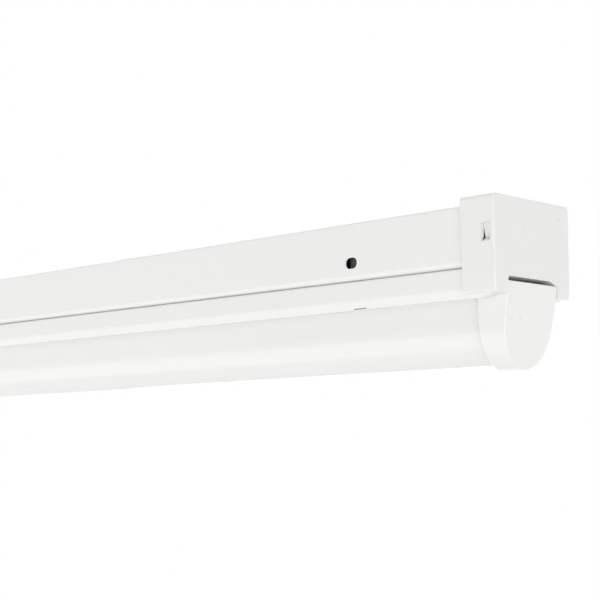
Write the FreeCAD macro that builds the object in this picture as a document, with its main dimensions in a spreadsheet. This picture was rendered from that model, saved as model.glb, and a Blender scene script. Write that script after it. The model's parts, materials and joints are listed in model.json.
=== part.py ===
import FreeCAD, Part
import math
import os
import Sketcher

# Linear LED batten light for a ceiling.
# X runs along the batten, Y across it and Z up.
# The origin is the middle of the fixing pattern, in the plane of the ceiling.

# Driving dimensions, in millimetres
SIZES = {
    # Whole fixture
    "overall_length": 1200.0,
    "running_gap": 0.3,
    "cut_overrun": 6.0,
    # End cap moulding
    "cap_width": 60.0,
    "cap_depth": 20.5,
    "cap_mouth_lean": 1.1,
    "cap_side_height": 36.2,
    "cap_taper": 2.1,
    "cap_taper_height": 10.2,
    "cap_floor_drop": 1.4,
    "cap_wall": 1.5,
    "cap_top_wall": 1.8,
    "cap_end_wall": 2.0,
    "cap_edge_round": 1.0,
    "cap_foot_round": 2.0,
    "cap_rib_place": 12.0,
    "cap_rib_wall": 1.2,
    "notch_top": 38.5,
    "guide_wall": 1.2,
    "guide_length": 8.0,
    "guide_clearance": 1.8,
    "guide_shoulder": 1.9,
    "guide_shoulder_drop": 2.6,
    "window_from_end": 2.4,
    "window_width": 5.6,
    "window_height": 8.8,
    "window_top": 13.7,
    # Spine, folded from sheet steel
    "sheet": 0.7,
    "spine_drop": 3.8,
    "spine_height": 30.0,
    "spine_end_gap": 0.5,
    "back_bend": 1.3,
    "lip_bend": 2.5,
    "lip_reach": 5.5,
    "fixing_spacing": 610.0,
    "fixing_slot_length": 12.0,
    "fixing_slot_width": 5.5,
    "pad_length": 34.0,
    "pad_width": 22.0,
    "pad_flank": 3.0,
    "entry_radius": 10.0,
    "latch_from_end": 93.1,
    "side_hole_width": 7.7,
    "side_hole_height": 5.65,
    "side_hole_drop": 24.4,
    "latch_notch_width": 12.0,
    "snap_tongue_width": 4.2,
    "snap_tongue_height": 7.0,
    "snap_slit": 0.5,
    "snap_lift": 0.7,
    # Gear tray, folded from the same sheet
    "seam_gap": 0.6,
    "tray_end_gap": 0.6,
    "tray_flange": 4.0,
    "tray_taper": 0.5,
    "tray_taper_height": 9.1,
    "tray_wing_drop": 1.9,
    "tray_bend": 1.6,
    "wing_bend": 4.5,
    "channel_bend": 1.0,
    "latch_slot_length": 9.1,
    "latch_slot_width": 4.0,
    "latch_slot_rise": 2.0,
    # Latch springs
    "spring_width": 8.0,
    "spring_sheet": 0.5,
    # Light boards
    "board_end_margin": 26.0,
    "board_gap": 2.0,
    "board_width": 23.0,
    "board_thickness": 1.6,
    "chip_length": 3.5,
    "chip_width": 2.8,
    "chip_height": 0.8,
    "clip_length": 8.0,
    "clip_wall": 1.2,
    "clip_hook": 1.2,
    "link_length": 9.0,
    "link_width": 5.0,
    "link_height": 2.4,
    "link_side": 6.0,
    "socket_beyond_driver": 32.0,
    "socket_length": 12.0,
    "socket_width": 7.0,
    "socket_height": 3.6,
    "socket_inset": 3.0,
    # Driver
    "driver_start": 112.0,
    "driver_length": 220.0,
    "driver_width": 30.0,
    "driver_base_height": 18.0,
    "driver_wall": 1.5,
    "driver_foot": 9.0,
    "driver_lip": 2.0,
    "driver_lip_wall": 1.2,
    "driver_board_lift": 4.0,
    "driver_board_margin": 2.0,
    "driver_post": 3.0,
    "coil_length": 24.0,
    "coil_width": 20.0,
    "coil_height": 8.5,
    "choke_radius": 4.2,
    "choke_height": 8.0,
    "screw_head": 2.9,
    "screw_head_height": 1.6,
    "screw_shank": 1.5,
    "screw_hole_gap": 0.1,
    # Terminal block
    "terminal_start": 40.0,
    "terminal_length": 34.0,
    "terminal_pole": 10.0,
    "terminal_height": 15.0,
    "terminal_step": 6.0,
    "terminal_step_drop": 5.0,
    "terminal_entry_radius": 1.7,
    "terminal_entry_depth": 9.0,
    "terminal_entry_height": 6.5,
    "button_side": 5.4,
    "button_proud": 1.8,
    "button_stem": 3.0,
    "button_well": 5.0,
    "button_inset": 5.0,
    # Wires
    "wire_radius": 0.9,
    "led_wire_radius": 0.7,
    "wire_height": 5.0,
    "led_wire_place": 13.4,
    "led_wire_spacing": 4.0,
    "led_outlet_spacing": 6.0,
    "wire_slot_width": 3.0,
    "tag_length": 12.0,
    "tag_width": 7.0,
    "tag_thickness": 0.8,
    # Grommet in the cable entry
    "grommet_bore": 7.0,
    "grommet_flange": 12.5,
    "grommet_flange_height": 1.6,
    "grommet_nose": 3.0,
    # Diffuser
    "diffuser_half": 16.9,
    "diffuser_wall": 1.3,
    "diffuser_top": 42.0,
    "diffuser_spring_line": 59.1,
    "diffuser_bottom": 79.4,
    "diffuser_nose": 14.9,
    "bead_reach": 0.8,
    "bead_height": 1.6,
    # Diffuser cap moulding
    "shoe_top": 40.5,
    "shoe_depth": 19.0,
    "shoe_half_top": 19.6,
    "shoe_half": 18.8,
    "shoe_bottom": 81.8,
    "shoe_nose": 16.6,
    "shoe_lean": 6.2,
    "shoe_socket_depth": 10.0,
    "shoe_socket_gap": 0.2,
    "shoe_wall": 2.0,
    "shoe_inner_half": 14.0,
    "shoe_inner_rise": 3.5,
    "shoe_edge_round": 0.9,
}

CHIPS_PER_BOARD = 24
BOARD_PLACE_SHARES = (-1.5, -0.5, 0.5, 1.5)
SIDES = {"right": 1, "left": -1}
CORNERS = {"1": (1, -1), "2": (1, 1), "3": (-1, -1), "4": (-1, 1)}
POLES = {"live": -1, "neutral": 0, "earth": 1}

# Shares of a length, and counts
CLIP_PLACE_SHARE = 0.41
WIRE_SIDES = 8
BEND_REACH_SHARE = 0.45
WIRE_BEND_SHARES = (0.3, 0.6)
LANDING_SHARES = {"live": -0.7, "neutral": 0.1}
EARTH_BEND_SHARE = 0.18
TAG_PLACE_SHARE = 0.35
TAG_GRIP_SHARE = 0.4
TAG_SCREW_SHARE = 0.72
CAN_PLACE_SHARES = (-1.5, 1.5, 2.2)
LIGHT_WIRE_SHARES = {"plus": 0.5, "minus": -0.5}
AGREEMENT = 1e-4

doc = FreeCAD.newDocument("led_batten")
sheet = doc.addObject("Spreadsheet::Sheet", "Sizes")
finished = []


class Size:
    """A length: its value in millimetres and the sheet expression that gives it."""

    def __init__(self, value, text):
        self.value = value
        self.text = text

    def __add__(self, other):
        other = as_size(other)
        return Size(self.value + other.value, f"({self.text} + {other.text})")

    def __sub__(self, other):
        other = as_size(other)
        return Size(self.value - other.value, f"({self.text} - {other.text})")

    def __mul__(self, other):
        other = as_size(other)
        return Size(self.value * other.value, f"({self.text} * {other.text})")

    def __truediv__(self, other):
        other = as_size(other)
        return Size(self.value / other.value, f"({self.text} / {other.text})")

    def __neg__(self):
        return Size(-self.value, f"(-{self.text})")

    def __rmul__(self, other):
        return as_size(other) * self

    def __radd__(self, other):
        return as_size(other) + self

    def __rsub__(self, other):
        return as_size(other) - self


def as_size(number):
    """Give a plain number the form of a Size."""
    return number if isinstance(number, Size) else Size(number, f"({number})")


class Sheet:
    """The driving dimensions, each a Size bound to its own cell."""

    def __init__(self, sizes):
        for row, (alias, value) in enumerate(sizes.items(), start=1):
            sheet.set(f"A{row}", alias)
            sheet.set(f"B{row}", str(value))
            sheet.setAlias(f"B{row}", alias)
            setattr(self, alias, Size(value, f"Sizes.{alias}"))


d = Sheet(SIZES)
doc.recompute()

# Places that several pieces share
zero = as_size(0)
half_length = d.overall_length / 2
cap_half = d.cap_width / 2
cap_inner_half = cap_half - d.cap_wall
cap_side_low = -(d.cap_side_height + d.cap_taper_height)
cap_floor_low = cap_side_low - d.cap_floor_drop
cap_inner_end = half_length - d.cap_end_wall
notch_half = d.shoe_half_top + d.running_gap
spine_half = cap_inner_half
spine_top = -d.spine_drop
spine_bottom = spine_top - d.spine_height
spine_end = cap_inner_end - d.spine_end_gap
tray_top = spine_bottom - d.seam_gap
tray_taper_top = -d.cap_side_height
tray_side_low = tray_taper_top - d.tray_taper_height
tray_low_half = spine_half - d.tray_taper
tray_wing_low = tray_side_low - d.tray_wing_drop
tray_end = half_length - d.cap_depth + d.cap_mouth_lean - d.tray_end_gap
channel_half = d.diffuser_half + d.running_gap
channel_outer = channel_half + d.sheet
web_bottom = -d.notch_top
web_top = web_bottom + d.sheet
board_bottom = web_bottom - d.board_thickness
latch_notch_half = spine_half - d.lip_bend
latch_place = half_length - d.latch_from_end
board_pitch = (d.overall_length - d.board_end_margin * 2) / len(BOARD_PLACE_SHARES)
board_length = board_pitch - d.board_gap
chip_pitch = board_length / CHIPS_PER_BOARD
driver_end = d.driver_start + d.driver_length
socket_place = driver_end + d.socket_beyond_driver
shoe_rim = half_length - d.shoe_depth
diffuser_end = shoe_rim + d.shoe_socket_depth


def vector(x, y, z):
    """The point at three Sizes."""
    return FreeCAD.Vector(as_size(x).value, as_size(y).value, as_size(z).value)


def place(thing, x=zero, y=zero, z=zero):
    """Bind where a piece stands to the sheet."""
    for axis, size in (("x", x), ("y", y), ("z", z)):
        thing.setExpression(f"Placement.Base.{axis}", as_size(size).text)


def bind(thing, **sizes):
    """Bind properties of a piece or feature to the sheet."""
    for name, size in sizes.items():
        thing.setExpression(name, as_size(size).text)


def finish(thing, label):
    """Give a sub-part the name of its file."""
    thing.Label = label
    finished.append(thing)
    return thing


# Sketch outlines
# A corner is (across, up), or (across, up, radius, turn) where an arc leads to the next corner.
# An outline runs anticlockwise, and its turn is "left" on the outside of a bend.


def both_sides(chain, closing=()):
    """Join the right half of an outline to its mirror image about the middle."""
    mirrored = []
    for index in range(len(chain) - 1, -1, -1):
        bend = tuple(chain[index - 1][2:]) if index else tuple(closing)
        mirrored.append((-chain[index][0], chain[index][1]) + bend)
    return list(chain) + mirrored


def rectangle(left, right, low, high):
    """A plain rectangle."""
    return [(left, low), (right, low), (right, high), (left, high)]


def obround(across, up, length, width):
    """A slot with round ends along the first direction, each end two quarter arcs."""
    radius = width / 2
    reach = length / 2 - radius
    bend = (radius, "left")
    return [
        (across - reach, up - radius),
        (across + reach, up - radius) + bend,
        (across + reach + radius, up) + bend,
        (across + reach, up + radius),
        (across - reach, up + radius) + bend,
        (across - reach - radius, up) + bend,
    ]


def ring(across, up, radius):
    """A full circle as four quarter arcs."""
    bend = (radius, "left")
    return [
        (across, up - radius) + bend,
        (across + radius, up) + bend,
        (across, up + radius) + bend,
        (across - radius, up) + bend,
    ]


def arc_between(start, end, radius, turn):
    """The short arc from start to end with its centre on the side that turn names."""
    chord = end - start
    side = 1 if turn == "left" else -1
    rise = math.sqrt(max(radius ** 2 - (chord.Length / 2) ** 2, 0))
    inward = FreeCAD.Vector(-chord.y, chord.x, 0).normalize() * rise * side
    centre = (start + end) * 0.5 + inward
    first, last = (start, end) if side > 0 else (end, start)
    angles = [math.atan2(point.y - centre.y, point.x - centre.x) for point in (first, last)]
    circle = Part.Circle(centre, FreeCAD.Vector(0, 0, 1), radius)
    return Part.ArcOfCircle(circle, angles[0], angles[1])


def draw(drawing, corners):
    """Draw one closed outline and bind every corner and radius to the sheet."""
    heads = []
    tails = []
    for here, ahead in zip(corners, corners[1:] + corners[:1]):
        start = vector(here[0], here[1], 0)
        end = vector(ahead[0], ahead[1], 0)
        number = drawing.GeometryCount
        if len(here) == 2:
            drawing.addGeometry(Part.LineSegment(start, end), False)
        else:
            drawing.addGeometry(arc_between(start, end, here[2].value, here[3]), False)
        reverse = len(here) > 2 and here[3] == "right"
        tails.append((number, 2 if reverse else 1))
        heads.append((number, 1 if reverse else 2))
    for here, tail, head in zip(corners, tails, heads[-1:] + heads[:-1]):
        drawing.addConstraint(Sketcher.Constraint("Coincident", *head, *tail))
        for kind, size in (("DistanceX", here[0]), ("DistanceY", here[1])):
            limit(drawing, Sketcher.Constraint(kind, -1, 1, *tail, size.value), size)
        if len(here) > 2:
            limit(drawing, Sketcher.Constraint("Radius", tail[0], here[2].value), here[2])


def limit(drawing, constraint, size):
    """Add one dimension to a sketch and bind it to the sheet."""
    number = drawing.addConstraint(constraint)
    drawing.setExpression(f"Constraints[{number}]", size.text)


def sketch(body, name, role, outlines, lift=None):
    """Draw outlines on one of a body's origin planes, lifted along that plane's normal."""
    drawing = body.newObject("Sketcher::SketchObject", name)
    plane = next(item for item in body.Origin.OriginFeatures if item.Role == role)
    drawing.AttachmentSupport = [(plane, "")]
    drawing.MapMode = "FlatFace"
    if lift is not None:
        drawing.setExpression("AttachmentOffset.Base.z", lift.text)
    for outline in outlines:
        draw(drawing, outline)
    return drawing


def pad(body, name, profile, length, midplane=False, reverse=False):
    """Extrude a sketch."""
    feature = body.newObject("PartDesign::Pad", name)
    feature.Profile = profile
    feature.Midplane = midplane
    feature.Reversed = reverse
    bind(feature, Length=length)
    return feature


def pocket(body, name, profile, length, midplane=False, reverse=False):
    """Cut a sketch out of a body and make sure that it removes material."""
    doc.recompute()
    before = body.Shape.Volume
    feature = body.newObject("PartDesign::Pocket", name)
    feature.Profile = profile
    feature.Midplane = midplane
    feature.Reversed = reverse
    bind(feature, Length=length)
    doc.recompute()
    if not body.Shape.Volume < before:
        raise ValueError(f"{body.Label}: {name} cuts nothing")
    return feature


def fillet(body, name, radius, chosen):
    """Round the edges of a body that the chosen test picks."""
    doc.recompute()
    base = body.Tip
    edges = [f"Edge{number}" for number, edge in enumerate(base.Shape.Edges, 1) if chosen(edge)]
    if not edges:
        raise ValueError(f"{body.Label}: {name} finds no edge")
    feature = body.newObject("PartDesign::Fillet", name)
    feature.Base = (base, edges)
    bind(feature, Radius=radius)
    return feature


def near(first, second):
    """Whether two lengths agree."""
    return abs(as_size(first).value - as_size(second).value) < AGREEMENT


def runs_along_at(*spots):
    """Test for edges along X that pass any of the given (across, up) spots, on either side."""

    def test(edge):
        box = edge.BoundBox
        if near(box.XLength, 0) or not near(box.YLength, 0) or not near(box.ZLength, 0):
            return False
        return any(near(abs(box.YMin), y) and near(box.ZMin, z) for y, z in spots)

    return test


def new_body(name):
    """Start a sub-part that is made by features."""
    return doc.addObject("PartDesign::Body", name)


def half_turn(thing, side):
    """Turn a piece that is made for the right-hand end round to the left-hand end."""
    if side < 0:
        turned = FreeCAD.Rotation(FreeCAD.Vector(0, 0, 1), 180)
        thing.Placement = FreeCAD.Placement(FreeCAD.Vector(0, 0, 0), turned)
    return thing


def bowl(half, rim, spring_line, bottom, nose):
    """The right half of a round-bottomed outline, from its lowest arc up to its rim.

    A small nose arc at the bottom is tangent to a large flank arc on each side. With the nose
    centre a depth below the spring line, the flank radius that makes them tangent is
    (half^2 + deep^2 - 2 deep nose) / (2 (half - nose)).
    """
    deep = bottom - spring_line
    flank = (half * half + deep * deep - deep * nose * 2) / ((half - nose) * 2)
    share = nose / (flank - nose)
    touch_across = (flank - half) * share
    touch_up = -(spring_line + (deep - nose) * (share + 1))
    return [(touch_across, touch_up, flank, "left"), (half, -spring_line), (half, -rim)]


# Spine: a lipped channel, folded from one sheet


def make_spine():
    body = new_body("spine")
    outer = spine_half
    inner = spine_half - d.sheet
    back_inside = d.back_bend - d.sheet
    lip_inside = d.lip_bend - d.sheet
    lip_end = outer - d.lip_reach
    section = both_sides([
        (outer - d.back_bend, spine_top - d.sheet, back_inside, "right"),
        (inner, spine_top - d.back_bend),
        (inner, spine_bottom + d.lip_bend, lip_inside, "right"),
        (outer - d.lip_bend, spine_bottom + d.sheet),
        (lip_end, spine_bottom + d.sheet),
        (lip_end, spine_bottom),
        (outer - d.lip_bend, spine_bottom, d.lip_bend, "left"),
        (outer, spine_bottom + d.lip_bend),
        (outer, spine_top - d.back_bend, d.back_bend, "left"),
        (outer - d.back_bend, spine_top),
    ])
    profile = sketch(body, "spine_section", "YZ_Plane", [section])
    pad(body, "spine_channel", profile, spine_end * 2, midplane=True)
    add_fixing_pads(body)
    cut_back_openings(body)
    cut_side_openings(body)
    add_snap_tongues(body)
    return finish(body, "spine")


def loft(body, kind, name, lower, upper):
    """Loft between two sketches, as an added or a removed shape."""
    feature = body.newObject(kind, name)
    feature.Profile = lower
    feature.Sections = [upper]
    feature.Ruled = True
    return feature


def add_fixing_pads(body):
    """Press two hollow stand-offs up from the back, so that their tops lie on the ceiling."""
    foot_length = d.pad_length + d.pad_flank * 2
    foot_width = d.pad_width + d.pad_flank * 2
    for index, spot in enumerate((-d.fixing_spacing / 2, d.fixing_spacing / 2), start=1):
        outlines = {}
        for level, length, width, lift, inset in (
            ("foot", foot_length, foot_width, spine_top - d.sheet / 2, zero),
            ("crown", d.pad_length, d.pad_width, zero, zero),
            ("hollow_foot", foot_length, foot_width, spine_top - d.sheet * 2, d.sheet),
            ("hollow_crown", d.pad_length, d.pad_width, -d.sheet, d.sheet),
        ):
            reach = length / 2 - inset
            side = width / 2 - inset
            shape = rectangle(spot - reach, spot + reach, -side, side)
            outlines[level] = sketch(body, f"pad_{level}_{index}", "XY_Plane", [shape], lift)
        loft(body, "PartDesign::AdditiveLoft", f"pad_{index}", outlines["foot"], outlines["crown"])
        doc.recompute()
        before = body.Shape.Volume
        lower, upper = outlines["hollow_foot"], outlines["hollow_crown"]
        loft(body, "PartDesign::SubtractiveLoft", f"pad_hollow_{index}", lower, upper)
        doc.recompute()
        if not body.Shape.Volume < before:
            raise ValueError("the fixing pad is not hollow")


def cut_back_openings(body):
    """Cut the fixing slots and the cable entry in the back."""
    spots = (-d.fixing_spacing / 2, d.fixing_spacing / 2)
    slots = [obround(spot, zero, d.fixing_slot_length, d.fixing_slot_width) for spot in spots]
    opening = sketch(body, "fixing_slots", "XY_Plane", slots)
    pocket(body, "fixing_slot_cut", opening, d.cut_overrun, midplane=True)
    entry = sketch(body, "entry_hole", "XY_Plane", [ring(zero, zero, d.entry_radius)], spine_top)
    pocket(body, "entry_cut", entry, d.cut_overrun, midplane=True)


def cut_side_openings(body):
    """Cut the round-ended release holes in both sides and the latch notches in the lips."""
    spots = (-latch_place, latch_place)
    holes = [
        obround(spot, -d.side_hole_drop, d.side_hole_width, d.side_hole_height) for spot in spots
    ]
    opening = sketch(body, "side_holes", "XZ_Plane", holes)
    pocket(body, "side_hole_cut", opening, d.cap_width, midplane=True)
    reach = d.latch_notch_width / 2
    notches = [
        rectangle(spot - reach, spot + reach, -latch_notch_half, latch_notch_half)
        for spot in spots
    ]
    opening = sketch(body, "latch_notches", "XY_Plane", notches, spine_bottom)
    pocket(body, "latch_notch_cut", opening, d.lip_bend, midplane=True)


def add_snap_tongues(body):
    """Slit a tongue behind each end cap window and bend it out to catch the cap."""
    width = d.snap_tongue_width / 2
    middle = half_length - d.window_from_end - d.window_width / 2
    top = -d.window_top - d.snap_slit
    low = top - d.snap_tongue_height
    slits = [
        rectangle(
            middle * side - width - d.snap_slit, middle * side + width + d.snap_slit,
            low - d.snap_slit, top,
        )
        for side in (-1, 1)
    ]
    opening = sketch(body, "snap_slits", "XZ_Plane", slits)
    pocket(body, "snap_slit_cut", opening, d.cap_width, midplane=True)
    tongue = [
        (spine_half, top + d.snap_slit),
        (spine_half - d.sheet, top + d.snap_slit),
        (spine_half - d.sheet, top),
        (spine_half - d.sheet + d.snap_lift, low),
        (spine_half + d.snap_lift, low),
        (spine_half, top),
    ]
    mirrored = [(-across, up) for across, up in reversed(tongue)]
    for name, side in SIDES.items():
        shapes = sketch(body, f"snap_{name}", "YZ_Plane", [tongue, mirrored], middle * side)
        pad(body, f"snap_tongue_{name}", shapes, d.snap_tongue_width, midplane=True)


# End cap: a moulded sleeve over the spine's end with a notch for the diffuser's cap


def make_end_cap(name, side):
    body = new_body(f"end_cap_{name}")
    mouth = half_length - d.cap_depth
    outer = both_sides([
        (notch_half, cap_floor_low),
        (cap_half - d.cap_taper, cap_side_low),
        (cap_half, -d.cap_side_height),
        (cap_half, zero),
    ])
    profile = sketch(body, "cap_outline", "YZ_Plane", [outer], mouth)
    pad(body, "cap_block", profile, d.cap_depth)
    foot = (cap_half - d.cap_taper, cap_side_low)
    fillet(body, "cap_foot_rounds", d.cap_foot_round, runs_along_at(foot))

    def on_end_face(edge):
        return near(edge.BoundBox.XMin, half_length) and near(edge.BoundBox.XMax, half_length)

    fillet(body, "cap_end_rounds", d.cap_edge_round, on_end_face)
    hollow_end_cap(body, mouth)
    add_diffuser_guide(body)
    top = -d.window_top
    window_end = half_length - d.window_from_end
    shape = rectangle(window_end - d.window_width, window_end, top - d.window_height, top)
    windows = sketch(body, "cap_windows", "XZ_Plane", [shape])
    pocket(body, "cap_window_cut", windows, d.cap_width + d.cut_overrun, midplane=True)
    half_turn(body, side)
    return finish(body, f"end_cap_{name}")


def hollow_end_cap(body, mouth):
    """Hollow the cap, open its floor and end for the diffuser's cap and lean its mouth."""
    below = cap_floor_low - d.cut_overrun
    inner = both_sides([
        (notch_half, below),
        (notch_half, cap_floor_low + d.cap_wall),
        (cap_half - d.cap_taper - d.cap_wall, cap_side_low + d.cap_wall),
        (cap_inner_half, -d.cap_side_height),
        (cap_inner_half, -d.cap_top_wall),
    ])
    hollow = sketch(body, "cap_hollow", "YZ_Plane", [inner], mouth)
    pocket(body, "cap_hollow_cut", hollow, d.cap_depth - d.cap_end_wall, reverse=True)
    notch = rectangle(-notch_half, notch_half, below, -d.notch_top)
    opening = sketch(body, "cap_notch", "YZ_Plane", [notch], half_length)
    pocket(body, "cap_notch_cut", opening, d.cap_end_wall + d.cut_overrun, midplane=True)
    lean = [
        (mouth - d.cut_overrun, zero + d.cut_overrun),
        (mouth - d.cut_overrun, below),
        (mouth + d.cap_mouth_lean, below),
        (mouth + d.cap_mouth_lean, cap_side_low),
        (mouth, zero),
        (mouth, zero + d.cut_overrun),
    ]
    wedge = sketch(body, "cap_mouth", "XZ_Plane", [lean])
    pocket(body, "cap_mouth_cut", wedge, d.cap_width + d.cut_overrun, midplane=True)


def add_diffuser_guide(body):
    """Add the guide behind the notch, with sloped shoulders, and the ribs over the spine."""
    guide_half = notch_half + d.guide_clearance
    guide_foot = cap_floor_low + d.cap_wall / 2
    guide_top = -d.notch_top
    guide = both_sides([
        (guide_half - d.guide_shoulder - d.guide_clearance, guide_top),
        (guide_half, guide_top - d.guide_shoulder_drop),
        (guide_half, guide_foot),
        (guide_half + d.guide_wall, guide_foot),
        (guide_half + d.guide_wall, guide_top + d.guide_wall),
    ])
    shape = sketch(body, "guide_section", "YZ_Plane", [guide], cap_inner_end)
    pad(body, "diffuser_guide", shape, d.guide_length, reverse=True)
    ribs = []
    for place_across in (-d.cap_rib_place, d.cap_rib_place - d.cap_rib_wall):
        ribs.append(rectangle(
            place_across, place_across + d.cap_rib_wall, spine_top, -d.cap_top_wall,
        ))
    shapes = sketch(body, "rib_sections", "YZ_Plane", ribs, cap_inner_end)
    rib_length = d.cap_depth - d.cap_end_wall - d.cap_mouth_lean
    pad(body, "seat_ribs", shapes, rib_length, reverse=True)


# Cable grommet, clipped into the entry hole of the spine's back


def make_grommet():
    body = new_body("cable_grommet")
    under = spine_top - d.sheet
    section = [
        (d.grommet_bore, under - d.grommet_flange_height),
        (d.grommet_flange, under - d.grommet_flange_height),
        (d.grommet_flange, under),
        (d.entry_radius, under),
        (d.entry_radius, spine_top),
        (d.grommet_flange - d.grommet_flange_height, spine_top),
        (d.entry_radius - d.grommet_flange_height, spine_top + d.grommet_nose),
        (d.grommet_bore, spine_top + d.grommet_nose),
    ]
    profile = sketch(body, "grommet_section", "XZ_Plane", [section])
    feature = body.newObject("PartDesign::Revolution", "grommet_ring")
    feature.Profile = profile
    feature.ReferenceAxis = (profile, ["V_Axis"])
    feature.Angle = 360
    return finish(body, "cable_grommet")


# Gear tray: sides and wings that carry on the spine, with a channel for boards and diffuser


def make_gear_tray():
    body = new_body("gear_tray")
    outer = spine_half
    inner = spine_half - d.sheet
    flange_end = outer - d.tray_flange
    section = both_sides([
        (channel_half, web_bottom),
        (channel_half, tray_wing_low),
        (tray_low_half, tray_side_low),
        (outer, tray_taper_top),
        (outer, tray_top),
        (flange_end, tray_top),
        (flange_end, tray_top - d.sheet),
        (inner, tray_top - d.sheet),
        (inner, tray_taper_top),
        (tray_low_half - d.sheet, tray_side_low + d.sheet),
        (channel_outer, tray_wing_low + d.sheet),
        (channel_outer, web_top),
    ])
    profile = sketch(body, "tray_section", "YZ_Plane", [section])
    pad(body, "tray_fold", profile, tray_end * 2, midplane=True)
    fillet(body, "tray_side_bends", d.tray_bend, runs_along_at((outer, tray_top)))
    fillet(body, "tray_wing_bends", d.wing_bend, runs_along_at((tray_low_half, tray_side_low)))
    lips = runs_along_at((channel_half, tray_wing_low), (channel_outer, web_top))
    fillet(body, "tray_channel_bends", d.channel_bend, lips)
    inside = runs_along_at((inner, tray_top - d.sheet))
    fillet(body, "tray_inner_side_bends", d.tray_bend - d.sheet, inside)
    inside = runs_along_at((tray_low_half - d.sheet, tray_side_low + d.sheet))
    fillet(body, "tray_inner_wing_bends", d.wing_bend - d.sheet, inside)
    cut_tray(body)
    return finish(body, "gear_tray")


def cut_tray(body):
    """Cut the latch slots beside the diffuser, the screw holes and the slot for light wires."""
    reach = d.latch_slot_length / 2
    deep = channel_outer + d.latch_slot_width
    shallow = channel_half - d.running_gap
    slots = []
    for spot in (-latch_place, latch_place):
        slots.append(rectangle(spot - reach, spot + reach, -deep, -shallow))
        slots.append(rectangle(spot - reach, spot + reach, shallow, deep))
    floor = tray_wing_low - d.running_gap
    opening = sketch(body, "latch_slots", "XY_Plane", slots, floor)
    pocket(body, "latch_slot_cut", opening, d.latch_slot_rise, reverse=True)
    hole = d.screw_shank + d.screw_hole_gap
    holes = [ring(x, zero, hole) for x in driver_screw_spots()]
    holes.append(ring(earth_screw_place(), d.terminal_pole, hole))
    slot_length = d.led_wire_spacing + d.wire_slot_width
    holes.append(obround(socket_place, d.led_wire_place, slot_length, d.wire_slot_width))
    opening = sketch(body, "web_holes", "XY_Plane", holes, web_bottom)
    pocket(body, "web_hole_cut", opening, d.cut_overrun, midplane=True)


# Latch springs: strips that grip the diffuser below and reach for the release hole above


def make_latch_spring(name, along, across):
    body = new_body(f"latch_spring_{name}")
    strip = d.spring_sheet
    nose = latch_notch_half - d.running_gap - strip
    toe_low = tray_wing_low + d.sheet
    waist = (channel_outer + spine_half - d.lip_reach) / 2
    nose_low = -d.side_hole_drop - d.side_hole_height / 2
    nose_high = -d.side_hole_drop + d.side_hole_height / 2
    crest = nose_high + d.side_hole_height
    rise = [
        (channel_outer, web_bottom, -1),
        (waist, tray_top, -1),
        (nose, nose_low, -1),
        (nose, nose_high, 1),
        (waist, crest, 1),
    ]
    outline = [(channel_half, toe_low), (channel_outer + strip, toe_low)]
    outline += [(y + strip, z + strip / 2 * lean) for y, z, lean in rise]
    outline += [(y, z) for y, z, lean in reversed(rise)]
    outline += [(channel_outer, toe_low + strip), (channel_half, toe_low + strip)]
    profile = sketch(body, "spring_outline", "YZ_Plane", [outline])
    pad(body, "spring_strip", profile, d.spring_width, midplane=True)
    half_turn(body, across)
    place(body, x=latch_place * along)
    return finish(body, f"latch_spring_{name}")


# Light boards, their chips, links, clips and socket


def make_block(name, x, y, z, length, width, height):
    """A box from its low corner and its three sizes."""
    block = doc.addObject("Part::Box", name)
    bind(block, Length=length, Width=width, Height=height)
    place(block, x, y, z)
    return block


def make_disc(name, x, y, z, radius, height):
    """An upright cylinder from the middle of its lower face."""
    disc = doc.addObject("Part::Cylinder", name)
    bind(disc, Radius=radius, Height=height)
    place(disc, x, y, z)
    return disc


def grouped(name, pieces):
    """Several separate solids in one node."""
    group = doc.addObject("Part::Compound", name)
    group.Links = pieces
    return finish(group, name)


def joined(name, pieces):
    """Several shapes fused into one solid."""
    fuse = doc.addObject("Part::MultiFuse", name)
    fuse.Shapes = pieces
    return fuse


def cut_away(name, base, pieces):
    """A shape with other shapes taken out of it."""
    cut = doc.addObject("Part::Cut", name)
    cut.Base = base
    cut.Tool = pieces[0] if len(pieces) == 1 else joined(f"{name}_tools", pieces)
    return cut


def make_light_boards():
    for number, share in enumerate(BOARD_PLACE_SHARES, start=1):
        middle = board_pitch * share
        board = make_block(
            f"board_{number}", middle - board_length / 2, -d.board_width / 2, board_bottom,
            board_length, d.board_width, d.board_thickness,
        )
        finish(board, f"led_board_{number}")
        chips = []
        for index in range(CHIPS_PER_BOARD):
            along = middle + chip_pitch * (index - (CHIPS_PER_BOARD - 1) / 2)
            chips.append(make_block(
                f"chip_{number}_{index}", along - d.chip_length / 2, -d.chip_width / 2,
                board_bottom - d.chip_height, d.chip_length, d.chip_width, d.chip_height,
            ))
        grouped(f"led_chips_{number}", chips)


def make_board_clips():
    """Hooked clips that hang from the tray and hold both edges of every board."""
    clips = []
    edge = d.board_width / 2
    for share in BOARD_PLACE_SHARES:
        for along in (-1, 1):
            for side in (-1, 1):
                number = len(clips) + 1
                left = board_pitch * share + board_pitch * CLIP_PLACE_SHARE * along - d.clip_length / 2
                post = edge if side > 0 else -edge - d.clip_wall
                hook = edge - d.clip_hook if side > 0 else -edge - d.clip_wall
                clips.append(joined(f"clip_{number}", [
                    make_block(
                        f"clip_post_{number}", left, post, board_bottom - d.clip_wall,
                        d.clip_length, d.clip_wall, d.board_thickness + d.clip_wall,
                    ),
                    make_block(
                        f"clip_hook_{number}", left, hook, board_bottom - d.clip_wall,
                        d.clip_length, d.clip_hook + d.clip_wall, d.clip_wall,
                    ),
                ]))
    grouped("board_clips", clips)


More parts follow.
